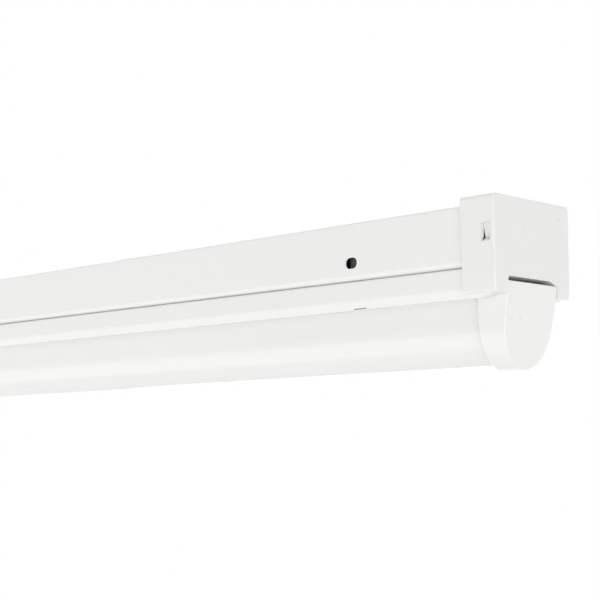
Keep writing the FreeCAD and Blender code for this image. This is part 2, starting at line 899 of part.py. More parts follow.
def make_board_fittings():
    links = []
    for number in range(1, len(BOARD_PLACE_SHARES)):
        middle = board_pitch * sum(BOARD_PLACE_SHARES[number - 1:number + 1]) / 2
        links.append(make_block(
            f"link_{number}", middle - d.link_length / 2, -d.link_side - d.link_width / 2,
            board_bottom - d.link_height, d.link_length, d.link_width, d.link_height,
        ))
    grouped("board_links", links)
    socket = make_block(
        "socket_block", socket_place - d.socket_length / 2,
        d.board_width / 2 - d.socket_inset - d.socket_width, board_bottom - d.socket_height,
        d.socket_length, d.socket_width, d.socket_height,
    )
    finish(socket, "board_socket")


# Driver: a tub with feet, a lid that plugs into it and the circuit inside


def driver_screw_spots():
    """Where the driver's two feet are screwed to the tray."""
    return (d.driver_start - d.driver_foot / 2, driver_end + d.driver_foot / 2)


def earth_screw_place():
    """How far along the tray the earth tag is screwed down."""
    start = d.terminal_start + d.terminal_length
    return start + (d.driver_start - start) * TAG_PLACE_SHARE + d.tag_length * TAG_SCREW_SHARE


def make_driver():
    half = d.driver_width / 2
    rim = web_top + d.driver_base_height
    body = new_body("driver_base")
    foot = rectangle(
        d.driver_start - d.driver_foot, driver_end + d.driver_foot, -half, half,
    )
    shape = sketch(body, "driver_foot", "XY_Plane", [foot], web_top)
    pad(body, "driver_feet", shape, d.driver_wall)
    shape = sketch(
        body, "driver_outline", "XY_Plane",
        [rectangle(d.driver_start, driver_end, -half, half)], web_top,
    )
    pad(body, "driver_tub", shape, d.driver_base_height)
    inside = rectangle(
        d.driver_start + d.driver_wall, driver_end - d.driver_wall,
        -half + d.driver_wall, half - d.driver_wall,
    )
    shape = sketch(body, "driver_hollow", "XY_Plane", [inside], rim)
    pocket(body, "driver_hollow_cut", shape, d.driver_base_height - d.driver_wall)
    holes = [ring(x, zero, d.screw_shank + d.screw_hole_gap) for x in driver_screw_spots()]
    shape = sketch(body, "foot_holes", "XY_Plane", holes, web_top)
    pocket(body, "foot_hole_cut", shape, d.cut_overrun, midplane=True)
    posts = [
        ring(x, zero, d.driver_post)
        for x in (d.driver_start + d.driver_foot, driver_end - d.driver_foot)
    ]
    shape = sketch(body, "driver_posts", "XY_Plane", posts, web_top + d.driver_wall)
    pad(body, "driver_post_pads", shape, d.driver_board_lift)
    finish(body, "driver_base")
    seat = web_top + d.driver_wall
    screws = [
        make_screw(f"driver_screw_{number}", x, zero, seat, d.driver_wall + d.sheet)
        for number, x in enumerate(driver_screw_spots(), start=1)
    ]
    grouped("driver_screws", screws)
    make_driver_cover(half, rim)
    make_driver_circuit(half)


def make_driver_cover(half, rim):
    """The lid and its plug, which stands inside the tub's walls."""
    body = new_body("driver_cover")
    shape = sketch(
        body, "cover_outline", "XY_Plane",
        [rectangle(d.driver_start, driver_end, -half, half)], rim,
    )
    pad(body, "cover_plate", shape, d.driver_wall)

    def upper_edges(edge):
        return near(edge.BoundBox.ZMin, rim + d.driver_wall)

    fillet(body, "cover_round", d.driver_wall / 2, upper_edges)
    inset = d.driver_wall + d.running_gap
    outer = rectangle(
        d.driver_start + inset, driver_end - inset, -half + inset, half - inset,
    )
    inset = inset + d.driver_lip_wall
    inner = rectangle(
        d.driver_start + inset, driver_end - inset, -half + inset, half - inset,
    )
    shape = sketch(body, "cover_lip", "XY_Plane", [outer, inner], rim)
    pad(body, "cover_plug", shape, d.driver_lip, reverse=True)
    finish(body, "driver_cover")


def make_driver_circuit(half):
    """The circuit board on its posts, with its transformer and smoothing capacitors."""
    floor = web_top + d.driver_wall + d.driver_board_lift
    margin = d.driver_wall + d.driver_board_margin
    board = make_block(
        "circuit_board", d.driver_start + margin, -half + margin, floor,
        d.driver_length - margin * 2, d.driver_width - margin * 2, d.board_thickness,
    )
    finish(board, "driver_board")
    top = floor + d.board_thickness
    middle = d.driver_start + d.driver_length / 2
    coil = make_block(
        "transformer_block", middle - d.coil_length / 2, -d.coil_width / 2, top,
        d.coil_length, d.coil_width, d.coil_height,
    )
    finish(coil, "driver_transformer")
    cans = []
    for number, share in enumerate(CAN_PLACE_SHARES, start=1):
        cans.append(make_disc(
            f"can_{number}", middle + d.coil_length * share, zero, top,
            d.choke_radius, d.choke_height,
        ))
    grouped("driver_capacitors", cans)


def make_screw(name, x, y, seat, reach):
    """A screw with its head on the seat and its shank below."""
    head = make_disc(f"{name}_head", x, y, seat, d.screw_head, d.screw_head_height)
    shank = make_disc(f"{name}_shank", x, y, seat - reach, d.screw_shank, reach)
    return joined(name, [head, shank])


# Terminal block with three poles and a sprung release button on each


def make_terminal_block():
    body = new_body("terminal_block")
    end = d.terminal_start + d.terminal_length
    half = d.terminal_pole * len(POLES) / 2
    top = web_top + d.terminal_height
    side = [
        (d.terminal_start, web_top),
        (end, web_top),
        (end, top - d.terminal_step_drop),
        (end - d.terminal_step, top),
        (d.terminal_start, top),
    ]
    shape = sketch(body, "terminal_side", "XZ_Plane", [side])
    pad(body, "terminal_housing", shape, half * 2, midplane=True)
    wells = []
    entries = []
    for share in POLES.values():
        middle = d.terminal_pole * share
        well_half = d.button_side / 2 + d.running_gap
        well_start = d.terminal_start + d.button_inset - d.running_gap
        wells.append(rectangle(
            well_start, well_start + well_half * 2, middle - well_half, middle + well_half,
        ))
        entries.append(ring(middle, web_top + d.terminal_entry_height, d.terminal_entry_radius))
    shape = sketch(body, "button_wells", "XY_Plane", wells, top)
    pocket(body, "button_well_cut", shape, d.button_well)
    shape = sketch(body, "wire_entries", "YZ_Plane", entries, d.terminal_start)
    pocket(body, "wire_entry_cut", shape, d.terminal_entry_depth, reverse=True)
    finish(body, "terminal_block")
    for name, share in POLES.items():
        button = make_block(
            f"button_block_{name}", d.terminal_start + d.button_inset,
            d.terminal_pole * share - d.button_side / 2, top - d.button_stem,
            d.button_side, d.button_side, d.button_stem + d.button_proud,
        )
        finish(button, f"button_{name}")


# Wires that the fixture holds all the way, as straight runs joined by tangent arcs


def wire_section(radius, middle, direction):
    """An eight-sided section with the area of the round wire, square to its first run."""
    step = math.pi * 2 / WIRE_SIDES
    reach = radius * math.sqrt(step / math.sin(step))
    side = direction.cross(FreeCAD.Vector(0, 0, 1)).normalize()
    rise = side.cross(direction).normalize()
    corners = []
    for number in range(WIRE_SIDES + 1):
        angle = step * number + step / 2
        across = side * (reach * math.cos(angle))
        corners.append(middle + across + rise * (reach * math.sin(angle)))
    return Part.makePolygon(corners)


def make_wire(name, radius, points):
    """Sweep a wire along its route, with arcs as large as its runs allow."""
    spots = [vector(*point) for point in points]
    edges = []
    start = spots[0]
    radii = []
    for before, corner, after in zip(spots, spots[1:], spots[2:]):
        back = before - corner
        ahead = after - corner
        turn = math.pi - back.getAngle(ahead)
        reach = BEND_REACH_SHARE * min(back.Length, ahead.Length)
        arc_radius = reach / math.tan(turn / 2)
        back.normalize()
        ahead.normalize()
        first = corner + back * reach
        last = corner + ahead * reach
        inward = (back + ahead).normalize()
        centre = corner + inward * (arc_radius / math.cos(turn / 2))
        edges.append(Part.LineSegment(start, first).toShape())
        edges.append(Part.Arc(first, centre - inward * arc_radius, last).toShape())
        start = last
        radii.append(round(arc_radius, 1))
    edges.append(Part.LineSegment(start, spots[-1]).toShape())
    path = Part.Wire(edges)
    section = wire_section(radius.value, spots[0], spots[1] - spots[0])
    tube = path.makePipeShell([section], True, False)
    ideal = math.pi * radius.value ** 2 * path.Length
    print(name, "bend radii", radii, "volume share", round(tube.Volume / ideal, 4))
    wire = doc.addObject("Part::Feature", name)
    wire.Shape = tube
    return finish(wire, name)


def make_wires():
    start = d.terminal_start + d.terminal_length
    end = d.driver_start
    gap = end - start
    level = web_top + d.wire_height
    driver_level = web_top + d.terminal_entry_height
    step = d.terminal_pole
    first_share, second_share = WIRE_BEND_SHARES
    for name, landing_share in LANDING_SHARES.items():
        leave = step * POLES[name]
        land = step * landing_share
        make_wire(f"wire_{name}", d.wire_radius, [
            (start, leave, level),
            (start + gap * first_share, leave, level),
            (start + gap * second_share, land, driver_level),
            (end, land, driver_level),
        ])
    tag_start = start + gap * TAG_PLACE_SHARE
    tag_level = web_top + d.tag_thickness + d.wire_radius
    make_wire("wire_earth", d.wire_radius, [
        (start, step, level),
        (start + gap * EARTH_BEND_SHARE, step, level),
        (tag_start, step, tag_level),
        (tag_start + d.tag_length * TAG_GRIP_SHARE, step, tag_level),
    ])
    tag = make_block(
        "tag_plate", tag_start, step - d.tag_width / 2, web_top,
        d.tag_length, d.tag_width, d.tag_thickness,
    )
    hole = make_disc(
        "tag_hole", earth_screw_place(), step, web_top - d.cut_overrun / 2,
        d.screw_shank + d.screw_hole_gap, d.cut_overrun,
    )
    finish(cut_away("tag", tag, [hole]), "earth_tag")
    screw = make_screw(
        "earth_tag_screw", earth_screw_place(), step, web_top + d.tag_thickness,
        d.tag_thickness + d.sheet,
    )
    finish(screw, "earth_screw")


def make_led_wires():
    start = driver_end
    level = web_top + d.wire_height
    socket_side = d.board_width / 2 - d.socket_inset
    plug_level = board_bottom - d.socket_height / 2
    for name, share in LIGHT_WIRE_SHARES.items():
        along = socket_place + d.led_wire_spacing * share
        leave = d.led_outlet_spacing * -share
        make_wire(f"wire_led_{name}", d.led_wire_radius, [
            (start, leave, level),
            ((start * 2 + along) / 3, leave, level),
            (along, d.led_wire_place, level),
            (along, d.led_wire_place, plug_level),
            (along, socket_side, plug_level),
        ])


# Diffuser: an opal channel with a round bottom


def make_diffuser():
    body = new_body("diffuser")
    outer = bowl(
        d.diffuser_half, d.diffuser_top, d.diffuser_spring_line, d.diffuser_bottom,
        d.diffuser_nose,
    )
    wall = d.diffuser_wall
    half = d.diffuser_half - wall
    nose = d.diffuser_nose - wall
    inner = bowl(
        half, d.diffuser_top, d.diffuser_spring_line, d.diffuser_bottom - wall, nose,
    )
    bead = half - d.bead_reach
    touch_across, touch_up, flank, turn = inner[0]
    section = both_sides(outer + [
        (bead, -d.diffuser_top),
        (bead, -d.diffuser_top - d.bead_height),
        (half, -d.diffuser_top - d.bead_height - d.bead_reach),
        (half, -d.diffuser_spring_line, flank, "right"),
        (touch_across, touch_up, nose, "right"),
    ], closing=(d.diffuser_nose, turn))
    profile = sketch(body, "diffuser_section", "YZ_Plane", [section])
    pad(body, "diffuser_profile", profile, diffuser_end * 2, midplane=True)
    return finish(body, "diffuser")


# Diffuser cap: a shoe with a leaning face that stands in the end cap's notch


def make_diffuser_cap(name, side):
    body = new_body(f"diffuser_cap_{name}")
    chain = bowl(
        d.shoe_half, d.shoe_top, d.diffuser_spring_line, d.shoe_bottom, d.shoe_nose,
    )
    chain[2] = (d.shoe_half_top, -d.shoe_top)
    outline = both_sides(chain, closing=(d.shoe_nose, "left"))
    shape = sketch(body, "shoe_outline", "YZ_Plane", [outline], shoe_rim)
    pad(body, "shoe_block", shape, d.shoe_depth)
    below = -d.shoe_bottom
    lean = [
        (half_length, -d.shoe_top),
        (half_length - d.shoe_lean, below),
        (half_length - d.shoe_lean, below - d.cut_overrun),
        (half_length + d.cut_overrun, below - d.cut_overrun),
        (half_length + d.cut_overrun, -d.shoe_top),
    ]
    wedge = sketch(body, "shoe_face", "XZ_Plane", [lean])
    pocket(body, "shoe_face_cut", wedge, d.cap_width, midplane=True)

    def on_leaning_face(edge):
        return edge.BoundBox.XMin > (half_length - d.shoe_lean).value - AGREEMENT

    fillet(body, "shoe_face_round", d.shoe_edge_round, on_leaning_face)

    hollow_diffuser_cap(body)
    half_turn(body, side)
    return finish(body, f"diffuser_cap_{name}")


def hollow_diffuser_cap(body):
    """Cut the socket that takes the diffuser's end, and thin the wall behind the face."""
    gap = d.shoe_socket_gap
    chain = bowl(
        d.diffuser_half + gap, d.diffuser_top, d.diffuser_spring_line,
        d.diffuser_bottom + gap, d.diffuser_nose + gap,
    )
    outline = both_sides(chain, closing=(d.diffuser_nose + gap, "left"))
    shape = sketch(body, "shoe_socket", "YZ_Plane", [outline], shoe_rim)
    pocket(body, "shoe_socket_cut", shape, d.shoe_socket_depth, reverse=True)
    slope = d.shoe_lean / (d.shoe_bottom - d.shoe_top)
    high = d.diffuser_top + d.diffuser_wall
    low = d.diffuser_bottom - d.shoe_inner_rise
    face_high = half_length - slope * (high - d.shoe_top) - d.shoe_wall
    face_low = half_length - slope * (low - d.shoe_top) - d.shoe_wall
    inner = [
        (diffuser_end - d.shoe_wall, -low),
        (face_low, -low),
        (face_high, -high),
        (diffuser_end - d.shoe_wall, -high),
    ]
    shape = sketch(body, "shoe_inner", "XZ_Plane", [inner])
    pocket(body, "shoe_inner_cut", shape, d.shoe_inner_half * 2, midplane=True)


def check_model():
    """Stop if any object of the document failed or any sub-part is not a sound solid."""
    for thing in doc.Objects:
        if {"Invalid", "Error"} & set(thing.State):
            raise ValueError(f"{thing.Label} failed: {thing.State}")
    for thing in finished:
        if thing.Shape.isNull() or not thing.Shape.isValid() or not thing.Shape.Solids:
            raise ValueError(f"{thing.Label} is not a sound solid")


def main():
    make_spine()
    for name, side in SIDES.items():
        make_end_cap(name, side)
    make_grommet()
    make_gear_tray()
    for name, (along, across) in CORNERS.items():
        make_latch_spring(name, along, across)
    make_light_boards()
    make_board_clips()
    make_board_fittings()
    make_driver()
    make_terminal_block()
    make_wires()
    make_led_wires()
    make_diffuser()
    for name, side in SIDES.items():
        make_diffuser_cap(name, side)
    doc.recompute()
    check_model()
    os.makedirs("parts", exist_ok=True)
    for thing in finished:
        thing.Shape.exportStep(f"parts/{thing.Label}.step")
        box = thing.Shape.BoundBox
        print(
            thing.Label, len(thing.Shape.Solids), round(thing.Shape.Volume, 1),
            [round(v, 2) for v in (box.XMin, box.XMax, box.YMin, box.YMax, box.ZMin, box.ZMax)],
        )


main()
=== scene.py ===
"""Looks of a linear LED batten light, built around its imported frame.

Shapes are worked out in millimetres and turned into metres when their mesh is made.
X runs along the batten, Y across it and Z up. An outline is a list of (across, up) points.
"""
import json
import math

import bpy
import numpy as np
from mathutils import Matrix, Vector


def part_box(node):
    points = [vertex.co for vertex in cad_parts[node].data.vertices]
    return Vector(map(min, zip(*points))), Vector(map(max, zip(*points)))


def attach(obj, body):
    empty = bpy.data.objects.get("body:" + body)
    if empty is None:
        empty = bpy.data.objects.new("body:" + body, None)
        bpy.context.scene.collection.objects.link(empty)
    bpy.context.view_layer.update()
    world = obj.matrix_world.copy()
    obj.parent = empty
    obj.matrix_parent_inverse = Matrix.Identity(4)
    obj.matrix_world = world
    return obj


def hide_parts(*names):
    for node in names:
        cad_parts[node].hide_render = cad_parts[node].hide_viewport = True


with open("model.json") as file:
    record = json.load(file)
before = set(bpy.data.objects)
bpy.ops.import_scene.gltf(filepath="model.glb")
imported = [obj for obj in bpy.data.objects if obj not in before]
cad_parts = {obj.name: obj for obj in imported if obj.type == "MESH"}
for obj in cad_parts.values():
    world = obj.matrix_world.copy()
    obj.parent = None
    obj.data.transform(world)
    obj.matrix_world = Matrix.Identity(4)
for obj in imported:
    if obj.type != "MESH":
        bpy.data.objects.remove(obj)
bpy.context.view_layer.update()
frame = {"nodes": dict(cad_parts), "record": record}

MILLIMETRE = 0.001

# Sizes and places of the fitting, in millimetres
HALF_LENGTH = 600.0
SHEET = 0.7
SPINE_END = 597.5
SPINE_HALF = 28.5
SPINE_TOP = -3.8
SPINE_BOTTOM = -33.8
LIP_REACH = 5.5
FIXING_PLACE = 305.0
LATCH_PLACE = 506.9
RELEASE_HEIGHT = -24.48
CAP_HALF = 30.0
CAP_SIDE = 46.4
CAP_MOUTH = 579.5
CAP_LEAN = 1.1
CAP_FOOT = -46.8
CAP_INSIDE = 598.0
NOTCH_HALF = 19.77
NOTCH_TOP = -38.5
GUIDE_START = 590.0
MOUTH_ROUND = 0.35
END_ROUND = 1.0
TRAY_END = 580.6
TRAY_SEAT = -37.8
CHANNEL_HALF = 17.0
DIFFUSER_END = 591.0
SPRING_LINE = 59.1
SHOE_TOP = 40.5
SHOE_RIM = 581.0
RIM_ROUND = 0.4
FACE_ROUND = 0.9
TOP_ROUND = 1.1
SHOE_SLOPE = 6.2 / 41.3
BOARD_PITCH = 287.0
CHIP_PITCH = 11.875
CHIPS = 24
DRIVER_FOOT = -36.3
DRIVER_SEAM = -19.8
DRIVER_SCREWS = ((107.5, 0.0), (336.5, 0.0))
EARTH_SCREW = (95.94, 10.0)
TAG_TOP = -37.0
SCREW_HOLE = 1.6
POLES = (-10.0, 0.0, 10.0)

CUT = 8.0  # how far a cutting shape reaches past what it cuts
LEAST_RADIUS = 0.04
SIDES = (-1, 1)
FLOOR_GLOW = 0.45  # the stage floor's emission towards the camera and in reflections

# Meshes


def node_corners(node):
    """A CAD node's lowest and highest corners in millimetres."""
    low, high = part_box(node)
    return np.array(low) / MILLIMETRE, np.array(high) / MILLIMETRE


def closed_skin(rings):
    """Vertices and faces of a closed skin over rings of points.

    rings has the shape (stations, points, 3). Ring i joins ring i + 1 with four-sided faces that
    wrap round, and one flat face closes the first ring and another the last.
    """
    rings = np.asarray(rings, float)
    stations, points = rings.shape[:2]
    index = np.arange(stations * points).reshape(stations, points)
    onward = np.roll(index, -1, axis=1)
    sides = np.stack([index[:-1], onward[:-1], onward[1:], index[1:]], axis=-1).reshape(-1, 4)
    faces = [*map(list, sides), list(index[0][::-1]), list(index[-1])]
    return rings.reshape(-1, 3), faces


def looped_skin(rings):
    """Vertices and faces of a skin whose last ring joins its first, as round a ring."""
    rings = np.asarray(rings, float)
    stations, points = rings.shape[:2]
    index = np.arange(stations * points).reshape(stations, points)
    onward = np.roll(index, -1, axis=1)
    ahead = np.roll(index, -1, axis=0)
    corner = np.roll(onward, -1, axis=0)
    sides = np.stack([index, onward, corner, ahead], axis=-1).reshape(-1, 4)
    return rings.reshape(-1, 3), [*map(list, sides)]


def enclosed(points, faces):
    """Six times the volume inside the faces, summed as the triple product of each fan triangle."""
    total = 0.0
    for face in faces:
        ring = points[face]
        first = np.broadcast_to(ring[0], ring[2:].shape)
        total += np.einsum("ij,ij->", np.cross(ring[1:-1], ring[2:]), first)
    return total


def make_mesh(name, skins):
    """One mesh from closed skins, each turned so that its faces point outwards."""
    corners = []
    faces = []
    start = 0
    for points, sides in skins:
        if enclosed(points - points.mean(0), sides) < 0:
            sides = [side[::-1] for side in sides]
        corners.append(points)
        faces += [[start + number for number in side] for side in sides]
        start += len(points)
    mesh = bpy.data.meshes.new(name)
    mesh.from_pydata((np.concatenate(corners) * MILLIMETRE).tolist(), [], faces)
    mesh.update()
    return mesh


def make_object(name, skins):
    """A new piece at the origin, made of closed skins."""
    piece = bpy.data.objects.new(name, make_mesh(name, skins))
    bpy.context.scene.collection.objects.link(piece)
    return piece


def settle(piece):
    """Apply the modifiers of a piece to its mesh."""
    bpy.context.view_layer.update()
    seen = piece.evaluated_get(bpy.context.evaluated_depsgraph_get())
    mesh = bpy.data.meshes.new_from_object(seen)
    piece.modifiers.clear()
    piece.data = mesh


def carve(piece, steps):
    """Join or cut other shapes, each a (mode, skins) pair, one after the other."""
    tools = []
    for number, (mode, skins) in enumerate(steps):
        tool = make_object(f"{piece.name}_tool_{number}", skins)
        change = piece.modifiers.new(f"step_{number}", "BOOLEAN")
        change.operation = mode
        change.solver = "EXACT"
        change.object = tool
        tools.append(tool)
    settle(piece)
    for tool in tools:
        bpy.data.objects.remove(tool)


def soften(piece, width, segments=2, angle=35.0):
    """Round every edge that turns by more than an angle, by a small width."""
    bevel = piece.modifiers.new("edges", "BEVEL")
    bevel.width = width * MILLIMETRE
    bevel.segments = segments
    bevel.limit_method = "ANGLE"
    bevel.angle_limit = math.radians(angle)
    settle(piece)


# Outlines


def corner_directions(here):
    """For each corner: unit vectors back and ahead, half the angle between them, its bisector."""
    back = np.roll(here, 1, axis=0) - here
    ahead = np.roll(here, -1, axis=0) - here
    back /= np.linalg.norm(back, axis=1, keepdims=True)
    ahead /= np.linalg.norm(ahead, axis=1, keepdims=True)
    half = np.arccos(np.clip((back * ahead).sum(1, keepdims=True), -1, 1)) / 2
    inward = (back + ahead) / np.linalg.norm(back + ahead, axis=1, keepdims=True)
    return back, ahead, half, inward


def round_corners(corners, steps=5):
    """An outline with round corners, from (across, up, radius) corners.

    An arc touches both of its corner's edges at radius / tan(half the corner's angle) from it.
    Its points are the spoke from its centre to the first touching point, turned in even steps.
    """
    corners = np.array(corners, float)
    here, radius = corners[:, :2], np.maximum(corners[:, 2:], LEAST_RADIUS)
    back, ahead, half, inward = corner_directions(here)
    centre = here + inward * radius / np.sin(half)
    first = here + back * radius / np.tan(half) - centre
    last = here + ahead * radius / np.tan(half) - centre
    sweep = np.arctan2(
        first[:, 0] * last[:, 1] - first[:, 1] * last[:, 0], (first * last).sum(1),
    )
    turn = sweep[:, None] * np.linspace(0, 1, steps + 1)
    spoke = np.stack([
        first[:, :1] * np.cos(turn) - first[:, 1:] * np.sin(turn),
        first[:, :1] * np.sin(turn) + first[:, 1:] * np.cos(turn),
    ], axis=-1)
    return (centre[:, None] + spoke).reshape(-1, 2)


def both_sides(chain):
    """The right half of an outline and its mirror image."""
    return list(chain) + [(-across, *rest) for across, *rest in reversed(chain)]


def drawn_in(corners, inset):
    """A convex outline moved inwards by an inset, its round corners with it."""
    corners = np.array(corners, float)
    here = corners[:, :2]
    *_, half, inward = corner_directions(here)
    moved = here + inward * inset / np.sin(half)
    return np.hstack([moved, np.maximum(corners[:, 2:] - inset, LEAST_RADIUS)])


def bowl_side(half, spring_line, bottom, nose, steps=16):
    """The right half of a round bottom, from its lowest point up to the spring line.

    A nose arc about (0, nose - bottom) meets a flank arc about (half - flank, -spring line) where
    the line through both centres cuts them. With deep = bottom - spring line, the two are tangent
    if flank = (half^2 + deep^2 - 2 deep nose) / (2 (half - nose)).
    """
    deep = bottom - spring_line
    flank = (half ** 2 + deep ** 2 - 2 * deep * nose) / (2 * (half - nose))
    meet = math.atan2(deep - nose, flank - half)
    low = np.linspace(-math.pi / 2, -meet, steps + 1)
    high = np.linspace(-meet, 0, steps + 1)[1:]
    nose_arc = np.stack([nose * np.cos(low), nose * np.sin(low) + nose - bottom], axis=1)
    flank_arc = np.stack(
        [flank * np.cos(high) + half - flank, flank * np.sin(high) - spring_line], axis=1,
    )
    return np.concatenate([nose_arc, flank_arc])


def extruded(points, start, end, axis):
    """A closed bar of flat points from start to end along an axis; the points keep axis order."""
    points = np.asarray(points, float)
    rings = np.empty((2, len(points), 3))
    rings[..., [other for other in range(3) if other != axis]] = points
    rings[..., axis] = [[start], [end]]
    return closed_skin(rings)


def bar(points, start, end):
    """A closed bar of (across, up) points from start to end along X."""
    return extruded(points, start, end, 0)


def crosswise(points, start, end):
    """A closed bar of (along, up) points from start to end along Y."""
    return extruded(points, start, end, 1)


def upright(points, start, end):
    """A closed bar of (along, across) points from start to end along Z."""
    return extruded(points, start, end, 2)


def rectangle(low, high):
    """The corners of a flat rectangle between two corners."""
    return [(low[0], low[1]), (high[0], low[1]), (high[0], high[1]), (low[0], high[1])]


def box(low, high):
    """A closed box between two corners."""
    return bar(rectangle(low[1:], high[1:]), low[0], high[0])


def even_turns(count):
    """Angles evenly round a circle."""
    return np.arange(count) * (2 * math.pi / count)


def circle(centre, radius, count=32):
    """Points evenly round a circle."""
    angle = even_turns(count)
    return np.stack(
        [centre[0] + radius * np.cos(angle), centre[1] + radius * np.sin(angle)], axis=1,
    )


def slot_outline(centre, length, width, steps=10):
    """A slot with half-round ends along its first direction."""
    angle = np.linspace(-math.pi / 2, math.pi / 2, steps + 1)
    reach = (length - width) / 2
    right = np.stack(
        [reach + width / 2 * np.cos(angle), width / 2 * np.sin(angle)], axis=1,
    )
    return np.concatenate([right, -right]) + np.asarray(centre, float)


def strip_outline(corners, thickness, steps=6):
    """A bent strip from the (across, up, radius) corners of its middle line.

    The line has an arc at every corner between its ends. Each side of the strip is that line
    moved square to itself by half the thickness.
    """
    arcs = round_corners(corners, steps).reshape(len(corners), -1, 2)
    line = np.concatenate([[corners[0][:2]], *arcs[1:-1], [corners[-1][:2]]])
    ahead = np.gradient(line, axis=0)
    ahead /= np.linalg.norm(ahead, axis=1, keepdims=True)
    square = np.stack([-ahead[:, 1], ahead[:, 0]], axis=1) * thickness / 2
    return np.concatenate([line + square, (line - square)[::-1]])


def rounded_box(low, high, radius, steps=5):
    """A block with upright rounded corners between two corners."""
    outline = round_corners([(*corner, radius) for corner in rectangle(low, high)], steps)
    return upright(outline, low[2], high[2])


def turned(profile, centre, sides=32):
    """A body of revolution: circles of the profile's (radius, up) points about an upright line."""
    profile = np.asarray(profile, float)
    angle = even_turns(sides)
    rings = np.empty((len(profile), sides, 3))
    rings[..., 0] = centre[0] + profile[:, :1] * np.cos(angle)
    rings[..., 1] = centre[1] + profile[:, :1] * np.sin(angle)
    rings[..., 2] = profile[:, 1:]
    return closed_skin(rings)


def ring_section(section, sides=64):
    """A closed (radius, up) section carried once round Z."""
    section = np.asarray(section, float)
    angle = even_turns(sides)[:, None]
    rings = np.empty((sides, len(section), 3))
    rings[..., 0] = section[:, 0] * np.cos(angle)
    rings[..., 1] = section[:, 0] * np.sin(angle)
    rings[..., 2] = section[:, 1]
    return looped_skin(rings)


def rod(start, end, radii, sides=24):
    """A round rod along X or Y whose radius goes from the first to the second of two values."""
    start, end = np.array(start, float), np.array(end, float)
    angle = even_turns(sides)
    ahead = (end - start) / np.linalg.norm(end - start)
    side = np.cross(ahead, (0.0, 0.0, 1.0))
    rise = np.cross(side, ahead)
    spoke = side * np.cos(angle)[:, None] + rise * np.sin(angle)[:, None]
    return closed_skin([start + spoke * radii[0], end + spoke * radii[1]])


def tube(line, radius, sides=16):
    """A round tube along a line: each ring lies square to the line's direction there."""
    ahead = np.gradient(line, axis=0)
    ahead /= np.linalg.norm(ahead, axis=1, keepdims=True)
    side = np.cross(ahead, np.array([1.0, 1.0, 1.0]))
    side /= np.linalg.norm(side, axis=1, keepdims=True)
    rise = np.cross(ahead, side)
    angle = even_turns(sides)[:, None]
    spoke = np.cos(angle) * side[:, None] + np.sin(angle) * rise[:, None]
    return closed_skin(line[:, None] + radius * spoke)


def smooth_line(name, points):
    """Points of a NURBS spline of order 3 that has the given points as its control points."""
    curve = bpy.data.curves.new(name, "CURVE")
    curve.dimensions = "3D"
    curve.resolution_u = 10
    spline = curve.splines.new("NURBS")
    spline.points.add(len(points) - 1)
    spline.points.foreach_set("co", np.column_stack([points, np.ones(len(points))]).ravel())
    spline.order_u = 3
    spline.use_endpoint_u = True
    holder = bpy.data.objects.new(name, curve)
    bpy.context.scene.collection.objects.link(holder)
    bpy.context.view_layer.update()
    seen = holder.evaluated_get(bpy.context.evaluated_depsgraph_get())
    mesh = bpy.data.meshes.new_from_object(seen)
    line = np.empty(len(mesh.vertices) * 3, np.float32)
    mesh.vertices.foreach_get("co", line)
    bpy.data.objects.remove(holder)
    return line.reshape(-1, 3).astype(float)


def turned_round(skin, side):
    """The same skin for the left-hand end, turned half a turn about Z."""
    points, faces = skin
    return points * np.array([side, side, 1.0]), faces


# Finishes


